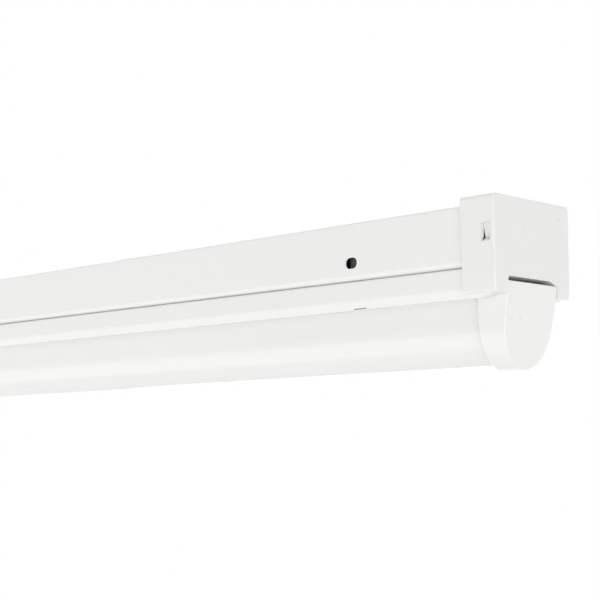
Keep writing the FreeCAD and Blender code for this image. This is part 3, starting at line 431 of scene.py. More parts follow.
class Finish:
    """One node material: a Principled shader and the patterns that feed it."""

    def __init__(self, name, **sockets):
        self.material = bpy.data.materials.new(name)
        self.material.use_nodes = True
        self.tree = self.material.node_tree
        self.shader = next(n for n in self.tree.nodes if n.type == "BSDF_PRINCIPLED")
        for socket, value in sockets.items():
            self.shader.inputs[socket.replace("_", " ")].default_value = value
        self.place = self.node("TexCoord").outputs["Object"]

    def node(self, kind, **settings):
        made = self.tree.nodes.new(f"ShaderNode{kind}")
        for name, value in settings.items():
            setattr(made, name, value)
        return made

    def link(self, source, target):
        self.tree.links.new(source, target)

    def stretched(self, scale):
        """Object coordinates scaled by a different amount along each axis."""
        made = self.node("Mapping")
        made.inputs["Scale"].default_value = scale
        self.link(self.place, made.inputs["Vector"])
        return made.outputs["Vector"]

    def noise(self, scale, detail, stretch=(1, 1, 1)):
        made = self.node("TexNoise")
        made.inputs["Scale"].default_value = scale
        made.inputs["Detail"].default_value = detail
        made.inputs["Roughness"].default_value = 0.55
        self.link(self.stretched(stretch), made.inputs["Vector"])
        return made.outputs["Fac"]

    def spread(self, value, low, high):
        """Map a pattern's middle range, 0.3 to 0.7, onto low and high."""
        made = self.node("MapRange")
        for end, pattern, result in (("Min", 0.3, low), ("Max", 0.7, high)):
            made.inputs[f"From {end}"].default_value = pattern
            made.inputs[f"To {end}"].default_value = result
        self.link(value, made.inputs["Value"])
        return made.outputs["Result"]

    def combined(self, first, second, mode):
        """Two values, each a number or a socket, put together by a Math node."""
        made = self.node("Math", operation=mode)
        for socket, value in zip(made.inputs, (first, second)):
            if isinstance(value, (int, float)):
                socket.default_value = value
            else:
                self.link(value, socket)
        return made.outputs["Value"]

    def blend(self, factor, first, second):
        """Two colours mixed by a pattern."""
        made = self.node("Mix", data_type="RGBA")
        self.link(factor, made.inputs["Factor"])
        made.inputs[6].default_value = (*first, 1.0)
        made.inputs[7].default_value = (*second, 1.0)
        return made.outputs[2]

    def colour(self, source):
        self.link(source, self.shader.inputs["Base Color"])

    def gloss(self, value, low, high):
        """Roughness that follows a pattern between two values."""
        self.link(self.spread(value, low, high), self.shader.inputs["Roughness"])

    def relief(self, value, depth, strength):
        """Bumps of a real depth in millimetres."""
        made = self.node("Bump")
        made.inputs["Distance"].default_value = depth * MILLIMETRE
        made.inputs["Strength"].default_value = strength
        self.link(value, made.inputs["Height"])
        self.link(made.outputs["Normal"], self.shader.inputs["Normal"])


def powder_coat(name, light, shade):
    """Satin powder coat: soft clouds of colour under a fine orange peel."""
    made = Finish(name)
    made.colour(made.blend(made.noise(9, 4), shade, light))
    made.gloss(made.noise(60, 2), 0.24, 0.27)
    made.relief(made.noise(900, 2), 0.002, 0.15)
    return made.material


def moulded(name, light, shade, low=0.38, high=0.5, grain=1400, depth=0.012):
    """Moulded plastic: slight flow clouds and a spark-eroded grain."""
    made = Finish(name)
    made.colour(made.blend(made.noise(14, 3), shade, light))
    made.gloss(made.noise(110, 2), low, high)
    made.relief(made.noise(grain, 2), depth, 0.4)
    return made.material


def opal_plastic(name, light, shade):
    """Opal polycarbonate, drawn through a die: faint streaks along X and a soft gloss."""
    made = Finish(name, Subsurface_Weight=0.07, Subsurface_Scale=0.004, IOR=1.585)
    made.shader.inputs["Subsurface Radius"].default_value = (1.0, 1.0, 0.95)
    streaks = made.noise(260, 3, (0.004, 1, 1))
    made.colour(made.blend(made.noise(12, 3, (0.2, 1, 1)), shade, light))
    made.gloss(made.noise(40, 2, (0.3, 1, 1)), 0.11, 0.14)
    made.relief(streaks, 0.0006, 0.3)
    return made.material


def rolled_metal(name, light, shade, low, high, stretch):
    """Rolled or drawn metal with fine streaks along one axis."""
    made = Finish(name, Metallic=1.0)
    streaks = made.noise(1500, 3, stretch)
    made.colour(made.blend(made.noise(40, 3), shade, light))
    made.gloss(streaks, low, high)
    made.relief(streaks, 0.006, 0.4)
    return made.material


# Each finish: its kind, its light and shade colours, then the gloss range and the grain.
RECIPES = {
    "painted_steel": (powder_coat, (0.885, 0.885, 0.867), (0.875, 0.875, 0.857)),
    # tray_steel is the spine's white powder coat made a little darker: painted shade that offsets
    # the extra light the tray catches from below.
    "tray_steel": (powder_coat, (0.877, 0.877, 0.859), (0.867, 0.867, 0.849)),
    "cap_plastic": (moulded, (0.87, 0.87, 0.852), (0.858, 0.858, 0.84), 0.27, 0.34),
    "shoe_plastic": (moulded, (0.888, 0.888, 0.87), (0.876, 0.876, 0.858), 0.27, 0.34),
    "opal": (opal_plastic, (0.882, 0.882, 0.864), (0.868, 0.868, 0.85)),
    "grommet_rubber": (moulded, (0.035, 0.035, 0.035), (0.022, 0.022, 0.023), 0.6, 0.75),
    "spring_steel": (moulded, (0.17, 0.17, 0.176), (0.13, 0.13, 0.136), 0.45, 0.58, 900, 0.008),
    "board_white": (moulded, (0.86, 0.86, 0.85), (0.84, 0.84, 0.83), 0.25, 0.35, 500, 0.006),
    "led_phosphor": (moulded, (0.9, 0.68, 0.2), (0.85, 0.6, 0.14), 0.3, 0.45, 2500, 0.02),
    "connector_plastic": (moulded, (0.84, 0.83, 0.78), (0.8, 0.79, 0.74)),
    "clip_nylon": (moulded, (0.8, 0.79, 0.74), (0.76, 0.75, 0.7), 0.3, 0.45),
    "driver_plastic": (moulded, (0.78, 0.78, 0.76), (0.74, 0.74, 0.72), 0.45, 0.6),
    "circuit_green": (moulded, (0.03, 0.2, 0.07), (0.02, 0.15, 0.05), 0.25, 0.4, 600, 0.01),
    "transformer_tape": (moulded, (0.8, 0.58, 0.06), (0.72, 0.5, 0.04), 0.3, 0.45),
    "capacitor_sleeve": (moulded, (0.02, 0.02, 0.03), (0.014, 0.014, 0.02), 0.25, 0.4),
    "zinc_steel": (rolled_metal, (0.7, 0.7, 0.72), (0.55, 0.56, 0.6), 0.28, 0.42, (1, 1, 1)),
    "terminal_plastic": (moulded, (0.82, 0.82, 0.8), (0.79, 0.79, 0.77), 0.3, 0.42),
    "button_live_plastic": (moulded, (0.3, 0.12, 0.04), (0.25, 0.1, 0.03), 0.3, 0.42),
    "button_neutral_plastic": (moulded, (0.03, 0.13, 0.5), (0.02, 0.1, 0.42), 0.3, 0.42),
    "button_earth_plastic": (moulded, (0.06, 0.36, 0.07), (0.04, 0.3, 0.05), 0.3, 0.42),
    "wire_brown": (moulded, (0.25, 0.1, 0.035), (0.2, 0.08, 0.03), 0.35, 0.5),
    "wire_blue": (moulded, (0.03, 0.12, 0.45), (0.02, 0.1, 0.38), 0.35, 0.5),
    "wire_green": (moulded, (0.1, 0.38, 0.05), (0.08, 0.32, 0.04), 0.35, 0.5),
    "wire_red": (moulded, (0.55, 0.03, 0.02), (0.48, 0.02, 0.015), 0.35, 0.5),
    "wire_black": (moulded, (0.02, 0.02, 0.02), (0.014, 0.014, 0.015), 0.35, 0.5),
    "tag_brass": (rolled_metal, (0.85, 0.8, 0.6), (0.78, 0.72, 0.5), 0.25, 0.4, (0.05, 1, 1)),
}
finishes = {name: kind(name, *values) for name, (kind, *values) in RECIPES.items()}


def dress(piece, body, slot, replaced=(), crease=32.0):
    """Give a piece its shading, its slot's finish, its body and the nodes that it stands for."""
    faces = piece.data.polygons
    faces.foreach_set("use_smooth", np.ones(len(faces), bool))
    piece.data.set_sharp_from_angle(angle=math.radians(crease))
    even = piece.modifiers.new("normals", "WEIGHTED_NORMAL")
    even.keep_sharp = True
    even.weight = 50
    settle(piece)
    piece.data.materials.clear()
    piece.data.materials.append(finishes[slot])
    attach(piece, body)
    if replaced:
        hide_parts(*replaced)


slot_of = {part["node"]: part["material_slot"] for part in frame["record"]["subparts"]}
for node_name, node_object in frame["nodes"].items():
    node_object.data.materials.clear()
    node_object.data.materials.append(finishes[slot_of[node_name]])


# Spine


def pad_skin(place, inset, drop):
    """A pressed stand-off pad: rounded rectangles whose sides grow by a smooth step downwards.

    At height h from 0 at the crown to 1 at the foot, the half sides grow by 3 (3 h^2 - 2 h^3) mm.
    """
    levels = np.linspace(0, 1, 7)
    grow = 3.0 * (3 * levels ** 2 - 2 * levels ** 3) - inset
    rings = []
    for level, more in zip(levels, grow):
        across, up = 17.0 + more, 11.0 + more
        corners = [(*corner, 4 + more) for corner in rectangle((-across, -up), (across, up))]
        outline = round_corners(corners[1:] + corners[:1], 6) + np.array([place, 0.0])
        height = np.full((len(outline), 1), drop - level * 4.15)
        rings.append(np.hstack([outline, height]))
    return closed_skin(rings)


def make_spine():
    """The folded channel with its pads, slots, cable hole, release holes and lip notches."""
    outer, inner = SPINE_HALF, SPINE_HALF - SHEET
    section = round_corners(both_sides([
        (inner, SPINE_TOP - SHEET, 0.6),
        (inner, SPINE_BOTTOM + SHEET, 2.6),
        (outer - LIP_REACH, SPINE_BOTTOM + SHEET, 0.08),
        (outer - LIP_REACH, SPINE_BOTTOM, 0.08),
        (outer, SPINE_BOTTOM, 3.3),
        (outer, SPINE_TOP, 1.3),
    ]), 8)
    piece = make_object("spine_channel", [bar(section, -SPINE_END, SPINE_END)])
    through = (-CAP_HALF - CUT, CAP_HALF + CUT)
    pads, hollows, openings, releases, notches = [], [], [], [], []
    for side in SIDES:
        fixing, latch = FIXING_PLACE * side, LATCH_PLACE * side
        pads.append(pad_skin(fixing, 0.0, 0.0))
        hollows.append(pad_skin(fixing, SHEET, -SHEET))
        openings.append(upright(slot_outline((fixing, 0), 12.0, 5.5), -CUT, CUT))
        release = slot_outline((latch + 0.4 * side, RELEASE_HEIGHT), 8.0, 5.7)
        releases.append(crosswise(release, *through))
        low, high = SPINE_BOTTOM - CUT, SPINE_BOTTOM + 2
        notches.append(box((latch - 6, -26, low), (latch + 6, 26, high)))
    openings.append(upright(circle((0, 0), 10.0, 48), -CUT, CUT))
    slits, reliefs, tongues = snap_tongues(through)
    carve(piece, [
        ("UNION", pads), ("DIFFERENCE", hollows), ("DIFFERENCE", openings),
        ("DIFFERENCE", releases), ("DIFFERENCE", notches), ("DIFFERENCE", slits),
        ("UNION", tongues), ("DIFFERENCE", reliefs),
    ])
    dress(piece, "spine", "painted_steel", ["spine"])


def snap_tongues(through):
    """The slits that free the spine's four tongues, their round ends, and the leaning tongues."""
    outer, inner = SPINE_HALF, SPINE_HALF - SHEET
    top, low = -14.2, -21.2
    slits, reliefs, tongues = [], [], []
    for side in SIDES:
        middle = 594.8 * side
        slit = [(-2.75, low - 0.14), (2.75, low - 0.14), (2.2, top), (-2.2, top)]
        slits.append(crosswise(np.array(slit) + np.array([middle, 0.0]), *through))
        for corner in (-2.4, 2.4):
            reliefs.append(crosswise(circle((middle + corner, low - 0.1), 0.6, 16), *through))
        for face in SIDES:
            outline = np.array([
                (outer, top + 0.5), (inner, top + 0.5), (inner, top), (inner - 1.4, low),
                (outer - 1.4, low), (outer, top),
            ]) * np.array([face, 1.0])
            tongues.append(bar(outline, middle - 2.1, middle + 2.1))
    return slits, reliefs, tongues


# End caps


def cap_block():
    """The outside of an end cap: its outline carried from a leaning mouth to a rounded end face.

    At turn t from 0 to a quarter turn, the end round draws the outline in by r (1 - cos t) and
    stands at r (1 - sin t) from the end face. The mouth leans by a share of the depth below zero.
    """
    corners = both_sides([
        (NOTCH_HALF, CAP_FOOT, 0.3), (29.3, -46.6, 1.3), (CAP_HALF, -39.0, 40.0),
        (CAP_HALF, 0.0, 1.9),
    ])
    rings = []
    for turn in np.linspace(0, math.pi / 2, 4):
        outline = round_corners(drawn_in(corners, MOUTH_ROUND * (1 - math.sin(turn))), 8)
        lean = CAP_LEAN * outline[:, 1] / CAP_SIDE
        place = CAP_MOUTH + MOUTH_ROUND * (1 - math.cos(turn)) - lean
        rings.append(np.column_stack([place, outline]))
    for turn in np.linspace(0, math.pi / 2, 10):
        outline = round_corners(drawn_in(corners, END_ROUND * (1 - math.cos(turn))), 8)
        place = np.full(len(outline), HALF_LENGTH - END_ROUND * (1 - math.sin(turn)))
        rings.append(np.column_stack([place, outline]))
    return closed_skin(rings)


def cap_feet():
    """Two runners under the cap's floor that carry on the tray's flank and rise to the end face."""
    section = np.array([(19.95, 0.0), (19.95, -1.8), (26.3, -2.8), (27.7, 0.0)])
    skins = []
    for face in SIDES:
        rings = []
        for place, share in ((580.65, 1.0), (588.5, 1.0), (596.5, 0.36)):
            outline = section * (face, share) + (0.0, -45.9)
            rings.append(np.column_stack([np.full(len(outline), place), outline]))
        skins.append(closed_skin(rings))
    return skins


def make_end_cap(name, side):
    """A moulded sleeve with a notch, a guide behind it and a snap window on each side."""
    piece = make_object(f"{name}_moulding", [turned_round(cap_block(), side)])
    low = CAP_FOOT - CUT
    hollow = round_corners(both_sides([
        (NOTCH_HALF, low, 0.1), (NOTCH_HALF, -45.3, 0.1), (27.9, -45.1, 1.0),
        (SPINE_HALF, -39.0, 1.0), (SPINE_HALF, -1.8, 0.6),
    ]), 4)
    notch = rectangle((-NOTCH_HALF, low), (NOTCH_HALF, NOTCH_TOP))
    window = rectangle((592.0, -22.5), (597.6, -13.7))
    guide = both_sides([
        (17.1, NOTCH_TOP), (21.0, -41.1), (21.0, -46.2), (22.9, -46.2), (22.9, -37.3),
    ])
    shoulder = [
        (13.0, -37.9), (13.0, NOTCH_TOP), (16.0, -39.3), (18.2, -40.4), (19.0, -40.45),
        (19.5, -40.78), (19.72, -41.2), (20.2, -41.2), (20.2, -37.9),
    ]
    ribs = [
        box((CAP_MOUTH + 1.5, edge, -4.6), (CAP_INSIDE + 0.4, edge + 1.2, -1.4))
        for edge in (-12.0, 10.8)
    ]
    for mode, skins in (
        ("DIFFERENCE", [bar(hollow, 560.0, CAP_INSIDE)]),
        ("DIFFERENCE", [bar(notch, GUIDE_START, HALF_LENGTH + CUT)]),
        ("DIFFERENCE", [crosswise(window, -CAP_HALF - CUT, CAP_HALF + CUT)]),
        ("UNION", [bar(guide, GUIDE_START, CAP_INSIDE + 0.8)]),
        ("UNION", ribs),
        ("UNION", [bar(shoulder, 594.0, 599.75)]),
        ("UNION", cap_feet()),
    ):
        carve(piece, [(mode, [turned_round(skin, side) for skin in skins])])
    soften(piece, 0.18)
    dress(piece, "spine", "cap_plastic", [name])


# Gear tray


def make_tray():
    """The tray's folded section with its latch slots, screw holes and wire slot."""
    section = round_corners(both_sides([
        (CHANNEL_HALF, NOTCH_TOP, 0.3), (CHANNEL_HALF, -47.4, 0.3), (26.3, -48.7, 0.8),
        (SPINE_HALF, -44.3, 4.0), (SPINE_HALF, -34.0, 1.3), (24.5, -34.0, 0.08),
        (24.5, -34.7, 0.08), (27.8, -34.7, 0.6), (27.8, -44.1, 3.3), (25.9, -47.9, 0.3),
        (17.8, -46.8, 0.3), (17.9, TRAY_SEAT, 1.0),
    ]), 6)
    piece = make_object("tray_channel", [bar(section, -TRAY_END, TRAY_END)])
    slots = []
    for side in SIDES:
        middle = (LATCH_PLACE + 4.9) * side
        for low, high in ((-28.5, -25.4), (25.4, 28.5)):
            slots.append(box((middle - 4.6, low, -48.25), (middle + 4.6, high, -47.8)))
    holes = [circle(spot, SCREW_HOLE, 20) for spot in (*DRIVER_SCREWS, EARTH_SCREW)]
    holes.append(slot_outline((364.0, 13.4), 7.0, 3.0))
    drills = [upright(hole, -41, -36) for hole in holes]
    carve(piece, [("DIFFERENCE", slots), ("DIFFERENCE", drills)])
    dress(piece, "tray", "tray_steel", ["gear_tray"])


# Diffuser and its caps


def make_diffuser():
    """The opal channel: the outer bowl, the two snap beads and the inner bowl as one section."""
    lip = [(16.9, -42.3), (16.6, -42.0)]
    right = np.concatenate([bowl_side(16.9, SPRING_LINE, 79.4, 14.9), lip])
    bead = np.array([(15.1, -42.0), (14.8, -42.3), (14.8, -43.4), (15.6, -44.4)])
    inner = np.concatenate([bead, bowl_side(15.6, SPRING_LINE, 78.1, 13.6)[::-1]])
    flip = np.array([-1.0, 1.0])
    section = np.concatenate([right, inner, inner[-2::-1] * flip, right[:0:-1] * flip])
    piece = make_object("diffuser_channel", [bar(section, -DIFFUSER_END, DIFFUSER_END)])
    dress(piece, "diffuser", "opal", ["diffuser"])


def shoe_outline(half, top_half, top, bottom, nose):
    """A closed outline: a bowl, its sides up to a flat top, and small round corners there."""
    side = bowl_side(half, SPRING_LINE, bottom, nose, 18)
    lift = np.linspace(SPRING_LINE, top + TOP_ROUND, 12)[1:, None]
    share = np.sin((SPRING_LINE - lift) / (SPRING_LINE - top) * math.pi / 2)
    wall = np.hstack([half + (top_half - half) * share, -lift])
    turn = np.linspace(0, math.pi / 2, 7)[1:, None]
    corner = np.hstack([
        top_half - TOP_ROUND * (1 - np.cos(turn)), -top - TOP_ROUND * (1 - np.sin(turn)),
    ])
    right = np.concatenate([side, wall, corner])
    return np.concatenate([right, right[:0:-1] * np.array([-1.0, 1.0])])


def inward_normals(outline):
    """Unit normals that point into an anticlockwise outline."""
    edge = np.roll(outline, -1, axis=0) - np.roll(outline, 1, axis=0)
    normal = np.stack([-edge[:, 1], edge[:, 0]], axis=1)
    return normal / np.linalg.norm(normal, axis=1, keepdims=True)


def make_shoe(name, side):
    """A diffuser cap as one skin: socket floor and wall, rim, skirt, round edge and leaning face.

    The face plane is x = 600 + slope (z + 40.5). The round edge draws the outline in by
    r (1 - cos t) while it stands r (1 - sin t) behind that plane.
    """
    outer = shoe_outline(18.8, 19.75, SHOE_TOP, 81.8, 16.6)
    socket = shoe_outline(17.1, 17.1, 42.0, 79.6, 15.1)
    normals = inward_normals(outer)
    rings = []
    chamfer = socket - inward_normals(socket) * RIM_ROUND
    for place, ring in ((590.6, socket), (SHOE_RIM + RIM_ROUND, socket), (SHOE_RIM, chamfer)):
        rings.append(np.column_stack([np.full(len(ring), place), ring]))
    for turn in np.linspace(0, math.pi / 2, 5):
        ring = outer + normals * RIM_ROUND * (1 - math.sin(turn))
        place = np.full(len(ring), SHOE_RIM + RIM_ROUND * (1 - math.cos(turn)))
        rings.append(np.column_stack([place, ring]))
    for turn in np.linspace(0, math.pi / 2, 8):
        ring = outer + normals * FACE_ROUND * (1 - math.cos(turn))
        face = HALF_LENGTH + SHOE_SLOPE * (ring[:, 1] + SHOE_TOP)
        rings.append(np.column_stack([face - FACE_ROUND * (1 - math.sin(turn)), ring]))
    piece = make_object(f"{name}_moulding", [turned_round(closed_skin(rings), side)])
    dress(piece, "diffuser", "shoe_plastic", [name], 40.0)


# Cable grommet and latch springs


def make_grommet():
    """The rubber ring in the cable hole: a flange under the sheet, a waist in it, a nose above."""
    section = round_corners([
        (7.0, -6.1, 0.5), (12.5, -6.1, 0.6), (12.5, -4.52, 0.4), (9.9, -4.52, 0.05),
        (9.9, -3.78, 0.05), (10.9, -3.78, 0.25), (8.4, -0.8, 0.5), (7.0, -0.8, 0.5),
    ], 4)
    piece = make_object("grommet_ring", [ring_section(section)])
    dress(piece, "spine", "grommet_rubber", ["cable_grommet"])


def make_latch_spring(number):
    """A bent strip: a toe over the tray's wing, a waist at the lip, a nose at the release hole."""
    node = f"latch_spring_{number}"
    low, high = node_corners(node)
    end, face = np.sign(low + high)[:2]
    outline = strip_outline([
        (19.6, -46.2, 0), (18.2, -46.2, 0.6), (18.2, -38.4, 4.0), (20.7, -34.4, 6.0),
        (24.2, -27.4, 2.2), (24.2, -21.6, 2.2), (20.7, -15.9, 0),
    ], 0.5) * (face, 1.0)
    middle = LATCH_PLACE * end
    piece = make_object(f"latch_strip_{number}", [bar(outline, middle - 4, middle + 4)])
    soften(piece, 0.1, 1)
    dress(piece, "tray", "spring_steel", [node])


# Light boards and what holds them


def board_middles():
    """Where the four boards' middles lie along X."""
    return [BOARD_PITCH * share for share in (-1.5, -0.5, 0.5, 1.5)]


def make_light_board(number, middle):
    """One board: its plate, the chips' solder, the chips' cases and their phosphor windows."""
    low, high = node_corners(f"led_board_{number}")
    plate = make_object(f"board_plate_{number}", [rounded_box(low, high, 0.8)])
    soften(plate, 0.08, 1)
    dress(plate, "tray", "board_white", [f"led_board_{number}"])
    under = low[2]
    wedge = np.array([(1.7, 0.02), (2.25, 0.02), (2.05, -0.12), (1.7, -0.42)])
    dome = np.array([(1.14, -0.4), (1.14, -0.7), (0.7, -0.76), (0.2, -0.78)]) + (0.0, under)
    solder, cases, windows = [], [], []
    for place in middle + CHIP_PITCH * (np.arange(CHIPS) - (CHIPS - 1) / 2):
        for side in SIDES:
            solder.append(crosswise(wedge * (side, 1.0) + (place, under), -1.05, 1.05))
        cases.append(chip_case(place, under))
        windows.append(turned(dome, (place, 0.0), 12))
    pads = make_object(f"chip_solder_{number}", solder)
    dress(pads, "tray", "zinc_steel")
    for name, skins, finish in (
        ("chip_cases", cases, "connector_plastic"), ("chip_windows", windows, "led_phosphor"),
    ):
        piece = make_object(f"{name}_{number}", skins)
        dress(piece, "tray", finish, [f"led_chips_{number}"])


def chip_case(place, under):
    """A chip's case: a square ring that narrows downwards, then a round dish for the phosphor.

    A point of the square ring at angle t is (cos t, sin t) over the larger of |cos t| and
    |sin t|, times the half sides, so it has as many points as the round ring inside it.
    """
    count = 16
    angle = even_turns(count) + math.pi / count
    spoke = np.stack([np.cos(angle), np.sin(angle)], axis=1)
    square = spoke / np.abs(spoke).max(1, keepdims=True)
    rings = [
        (square * (1.75, 1.4), 0.0), (square * (1.75, 1.4), -0.35), (square * (1.68, 1.33), -0.8),
        (spoke * 1.22, -0.8), (spoke * 1.12, -0.5),
    ]
    return closed_skin([
        np.column_stack([ring + (place, 0.0), np.full(count, under + rise)]) for ring, rise in rings
    ])


def make_board_clips():
    """Sixteen nylon clips: a foot on the tray, a post beside the board, a hook under its edge."""
    outline = round_corners([
        (11.5, NOTCH_TOP, 0.05), (13.7, NOTCH_TOP, 0.05), (13.7, -39.0, 0.2), (12.7, -39.3, 0.4),
        (12.7, -41.3, 0.5), (11.3, -41.3, 0.4), (10.3, -40.7, 0.3), (10.3, -40.12, 0.1),
        (11.5, -40.12, 0.15),
    ], 4)
    skins = []
    for middle in board_middles():
        for place in (middle - 117.67, middle + 117.67):
            for face in SIDES:
                skins.append(bar(outline * (face, 1.0), place - 4, place + 4))
    piece = make_object("edge_clips", skins)
    soften(piece, 0.12, 1, 60.0)
    dress(piece, "tray", "clip_nylon", ["board_clips"])


def make_board_links():
    """The connectors between the boards: housings with two openings, and contacts at both ends."""
    skins, windows, pins = [], [], []
    outline = round_corners([
        (-8.5, -40.1, 0.05), (-3.5, -40.1, 0.05), (-3.5, -42.0, 0.5), (-4.0, -42.5, 0.3),
        (-8.0, -42.5, 0.3), (-8.5, -42.0, 0.5),
    ], 3)
    for place in (-BOARD_PITCH, 0.0, BOARD_PITCH):
        skins.append(bar(outline, place - 4.5, place + 4.5))
        for across in (-7.2, -4.8):
            low, high = across - 0.45, across + 0.45
            windows.append(box((place - 2.6, low, -43.5), (place + 2.6, high, -41.6)))
            low, high = across - 0.4, across + 0.4
            for start in (place - 5.6, place + 4.4):
                pins.append(box((start, low, -40.6), (start + 1.2, high, -40.12)))
    piece = make_object("link_housings", skins)
    carve(piece, [("DIFFERENCE", windows)])
    soften(piece, 0.08, 1)
    dress(piece, "tray", "connector_plastic", ["board_links"])
    contacts = make_object("link_contacts", pins)
    soften(contacts, 0.06, 1)
    dress(contacts, "tray", "zinc_steel")


def make_board_socket():
    """The socket for the driver's wires, with a flared mouth, a bore and a key slot for each."""
    block = rounded_box((358.0, 1.5, -43.7), (370.0, 8.5, -40.1), 0.5, 3)
    socket = make_object("socket_housing", [block])
    ways = (362.0, 366.0)
    mouths = [rod((x, 9.0, -41.9), (x, 7.6, -41.9), (1.5, 0.85)) for x in ways]
    bores = [rod((x, 8.0, -41.9), (x, 4.0, -41.9), (0.8, 0.8)) for x in ways]
    keys = [box((x - 0.8, 2.4, -44.5), (x + 0.8, 5.2, -42.9)) for x in ways]
    carve(socket, [("DIFFERENCE", mouths), ("DIFFERENCE", bores), ("DIFFERENCE", keys)])
    soften(socket, 0.15, 1, 50.0)
    dress(socket, "tray", "connector_plastic", ["board_socket"])


# Driver and its screws


def make_driver_case():
    """The driver's tub with feet, gussets and wire collars, and its lid with a shallow field."""
    low, high = (112, -15), (332, 15)
    flange = rounded_box((103, -15, TRAY_SEAT), (341, 15, DRIVER_FOOT), 3.0)
    tub = make_object("driver_tub", [flange])
    walls = rounded_box((*low, -37.0), (*high, DRIVER_SEAM), 2.0)
    inside = rounded_box((113.5, -13.5, DRIVER_FOOT), (330.5, 13.5, -19.0), 1.0)
    holes = [upright(circle(spot, SCREW_HOLE, 20), -39, -35) for spot in DRIVER_SCREWS]
    gussets = []
    for wall, foot in ((112.6, 105.5), (331.4, 338.5)):
        for across in (-14.4, 13.2):
            corners = [(wall, -36.5), (foot, -36.5), (wall, -29.0)]
            gussets.append(crosswise(corners, across, across + 1.2))
    collars = [rod((112.5, y, -31.3), (109.4, y, -31.3), (2.3, 1.9)) for y in (-7.0, 1.0)]
    collars += [rod((331.5, y, -32.8), (334.4, y, -32.8), (1.9, 1.5)) for y in (-3.0, 3.0)]
    ribs = [
        box((x, wall - 0.3, -35.0), (x + 1.0, wall + 0.3, -21.5))
        for x in range(126, 320, 8) for wall in (-15.0, 15.0)
    ]
    carve(tub, [
        ("UNION", [walls]), ("UNION", gussets), ("DIFFERENCE", ribs), ("DIFFERENCE", [inside]),
        ("DIFFERENCE", holes), ("UNION", collars),
    ])
    soften(tub, 0.2, 2, 50.0)
    dress(tub, "tray", "driver_plastic", ["driver_base"])
    lid = make_object("driver_lid", [rounded_box((*low, DRIVER_SEAM), (*high, -18.3), 2.0)])
    plug = [rounded_box((113.8, -13.2, -21.8), (330.2, 13.2, -19.4), 1.0)]
    core = [rounded_box((115.0, -12.0, -22.5), (329.0, 12.0, DRIVER_SEAM), 0.6)]
    field = [rounded_box((150, -10, -18.6), (294, 10, -17.0), 1.5)]
    grips = [
        box((x, -9.0, -18.7), (x + 1.2, 9.0, -17.0))
        for start in (120, 310) for x in range(start, start + 13, 3)
    ]
    carve(lid, [
        ("UNION", plug), ("DIFFERENCE", core), ("DIFFERENCE", field), ("DIFFERENCE", grips),
    ])
    soften(lid, 0.3, 2, 50.0)
    dress(lid, "tray", "driver_plastic", ["driver_cover"])


def screw_skin(centre, seat, reach):
    """A screw with a domed head: on the seat its radius is 2.9 and falls by a quarter circle."""
    turn = np.linspace(0, math.pi / 2, 7)
    head = np.stack([2.9 - 1.3 * (1 - np.cos(turn)), seat + 0.6 + 1.0 * np.sin(turn)], axis=1)
    tip = seat - reach
    shank = [
        (0.5, tip), (1.3, tip + 0.5), (1.5, tip + 0.8), (1.5, seat - 0.02), (2.75, seat),
        (2.9, seat + 0.15),
    ]
    return turned(np.concatenate([shank, head, [(0.8, seat + 1.62)]]), centre)


def recess_arm(centre, top, half):
    """One arm of a cross recess, narrower at its floor."""
    upper = np.array(rectangle(-half, half))
    return closed_skin([
        np.column_stack([upper * 0.8 + centre, np.full(4, top - 1.0)]),
        np.column_stack([upper + centre, np.full(4, top + 0.4)]),
    ])


def make_screws():
    """The driver's two screws and the earth screw."""
    for name, node, spots, seat, reach in (
        ("driver_screw_pair", "driver_screws", DRIVER_SCREWS, DRIVER_FOOT, 2.2),
        ("earth_screw_turned", "earth_screw", (EARTH_SCREW,), TAG_TOP, 1.5),
    ):
        piece = make_object(name, [screw_skin(spot, seat, reach) for spot in spots])
        for half in (np.array([1.75, 0.42]), np.array([0.42, 1.75])):
            carve(piece, [("DIFFERENCE", [recess_arm(spot, seat + 1.62, half) for spot in spots])])
        dress(piece, "tray", "zinc_steel", [node])


# Terminal block, its buttons and the wires


def make_terminal():
    """The block with a sloped shoulder, button wells, wire mouths, grooves and test slots."""
    side = [(40.0, TRAY_SEAT), (74.0, TRAY_SEAT), (74.0, -27.8), (68.0, -22.8), (40.0, -22.8)]
    piece = make_object("terminal_housing", [crosswise(side, -15.0, 15.0)])
    wells = [box((44.7, y - 3.0, -27.8), (50.7, y + 3.0, -20.0)) for y in POLES]
    tests = [box((56.0, y - 1.5, -26.5), (57.2, y + 1.5, -20.0)) for y in POLES]
    mouths = [rod((39.5, y, -31.3), (41.6, y, -31.3), (3.2, 1.7)) for y in POLES]
    mouths += [rod((74.5, y, -32.8), (72.8, y, -32.8), (2.4, 0.95)) for y in POLES]
    bores = [rod((41.0, y, -31.3), (49.0, y, -31.3), (1.7, 1.7)) for y in POLES]
    grooves = [box((39.0, y - 0.4, -24.0), (69.0, y + 0.4, -22.0)) for y in (-5.0, 5.0)]
    carve(piece, [
        ("DIFFERENCE", wells), ("DIFFERENCE", tests), ("DIFFERENCE", mouths), ("DIFFERENCE", bores),
        ("DIFFERENCE", grooves),
    ])
    soften(piece, 0.25, 2, 40.0)
    dress(piece, "tray", "terminal_plastic", ["terminal_block"])
    for name, pole in zip(("live", "neutral", "earth"), POLES):
        block = rounded_box((45.0, pole - 2.7, -25.8), (50.4, pole + 2.7, -21.0), 0.5)
        key = make_object(f"key_{name}", [block])
        slot = box((47.25, pole - 1.9, -21.8), (48.15, pole + 1.9, -20.0))
        carve(key, [("DIFFERENCE", [slot])])
        soften(key, 0.3, 2, 50.0)
        slot_name = f"button_{name}_plastic"
        dress(key, f"button_{name}", slot_name, [f"button_{name}"])


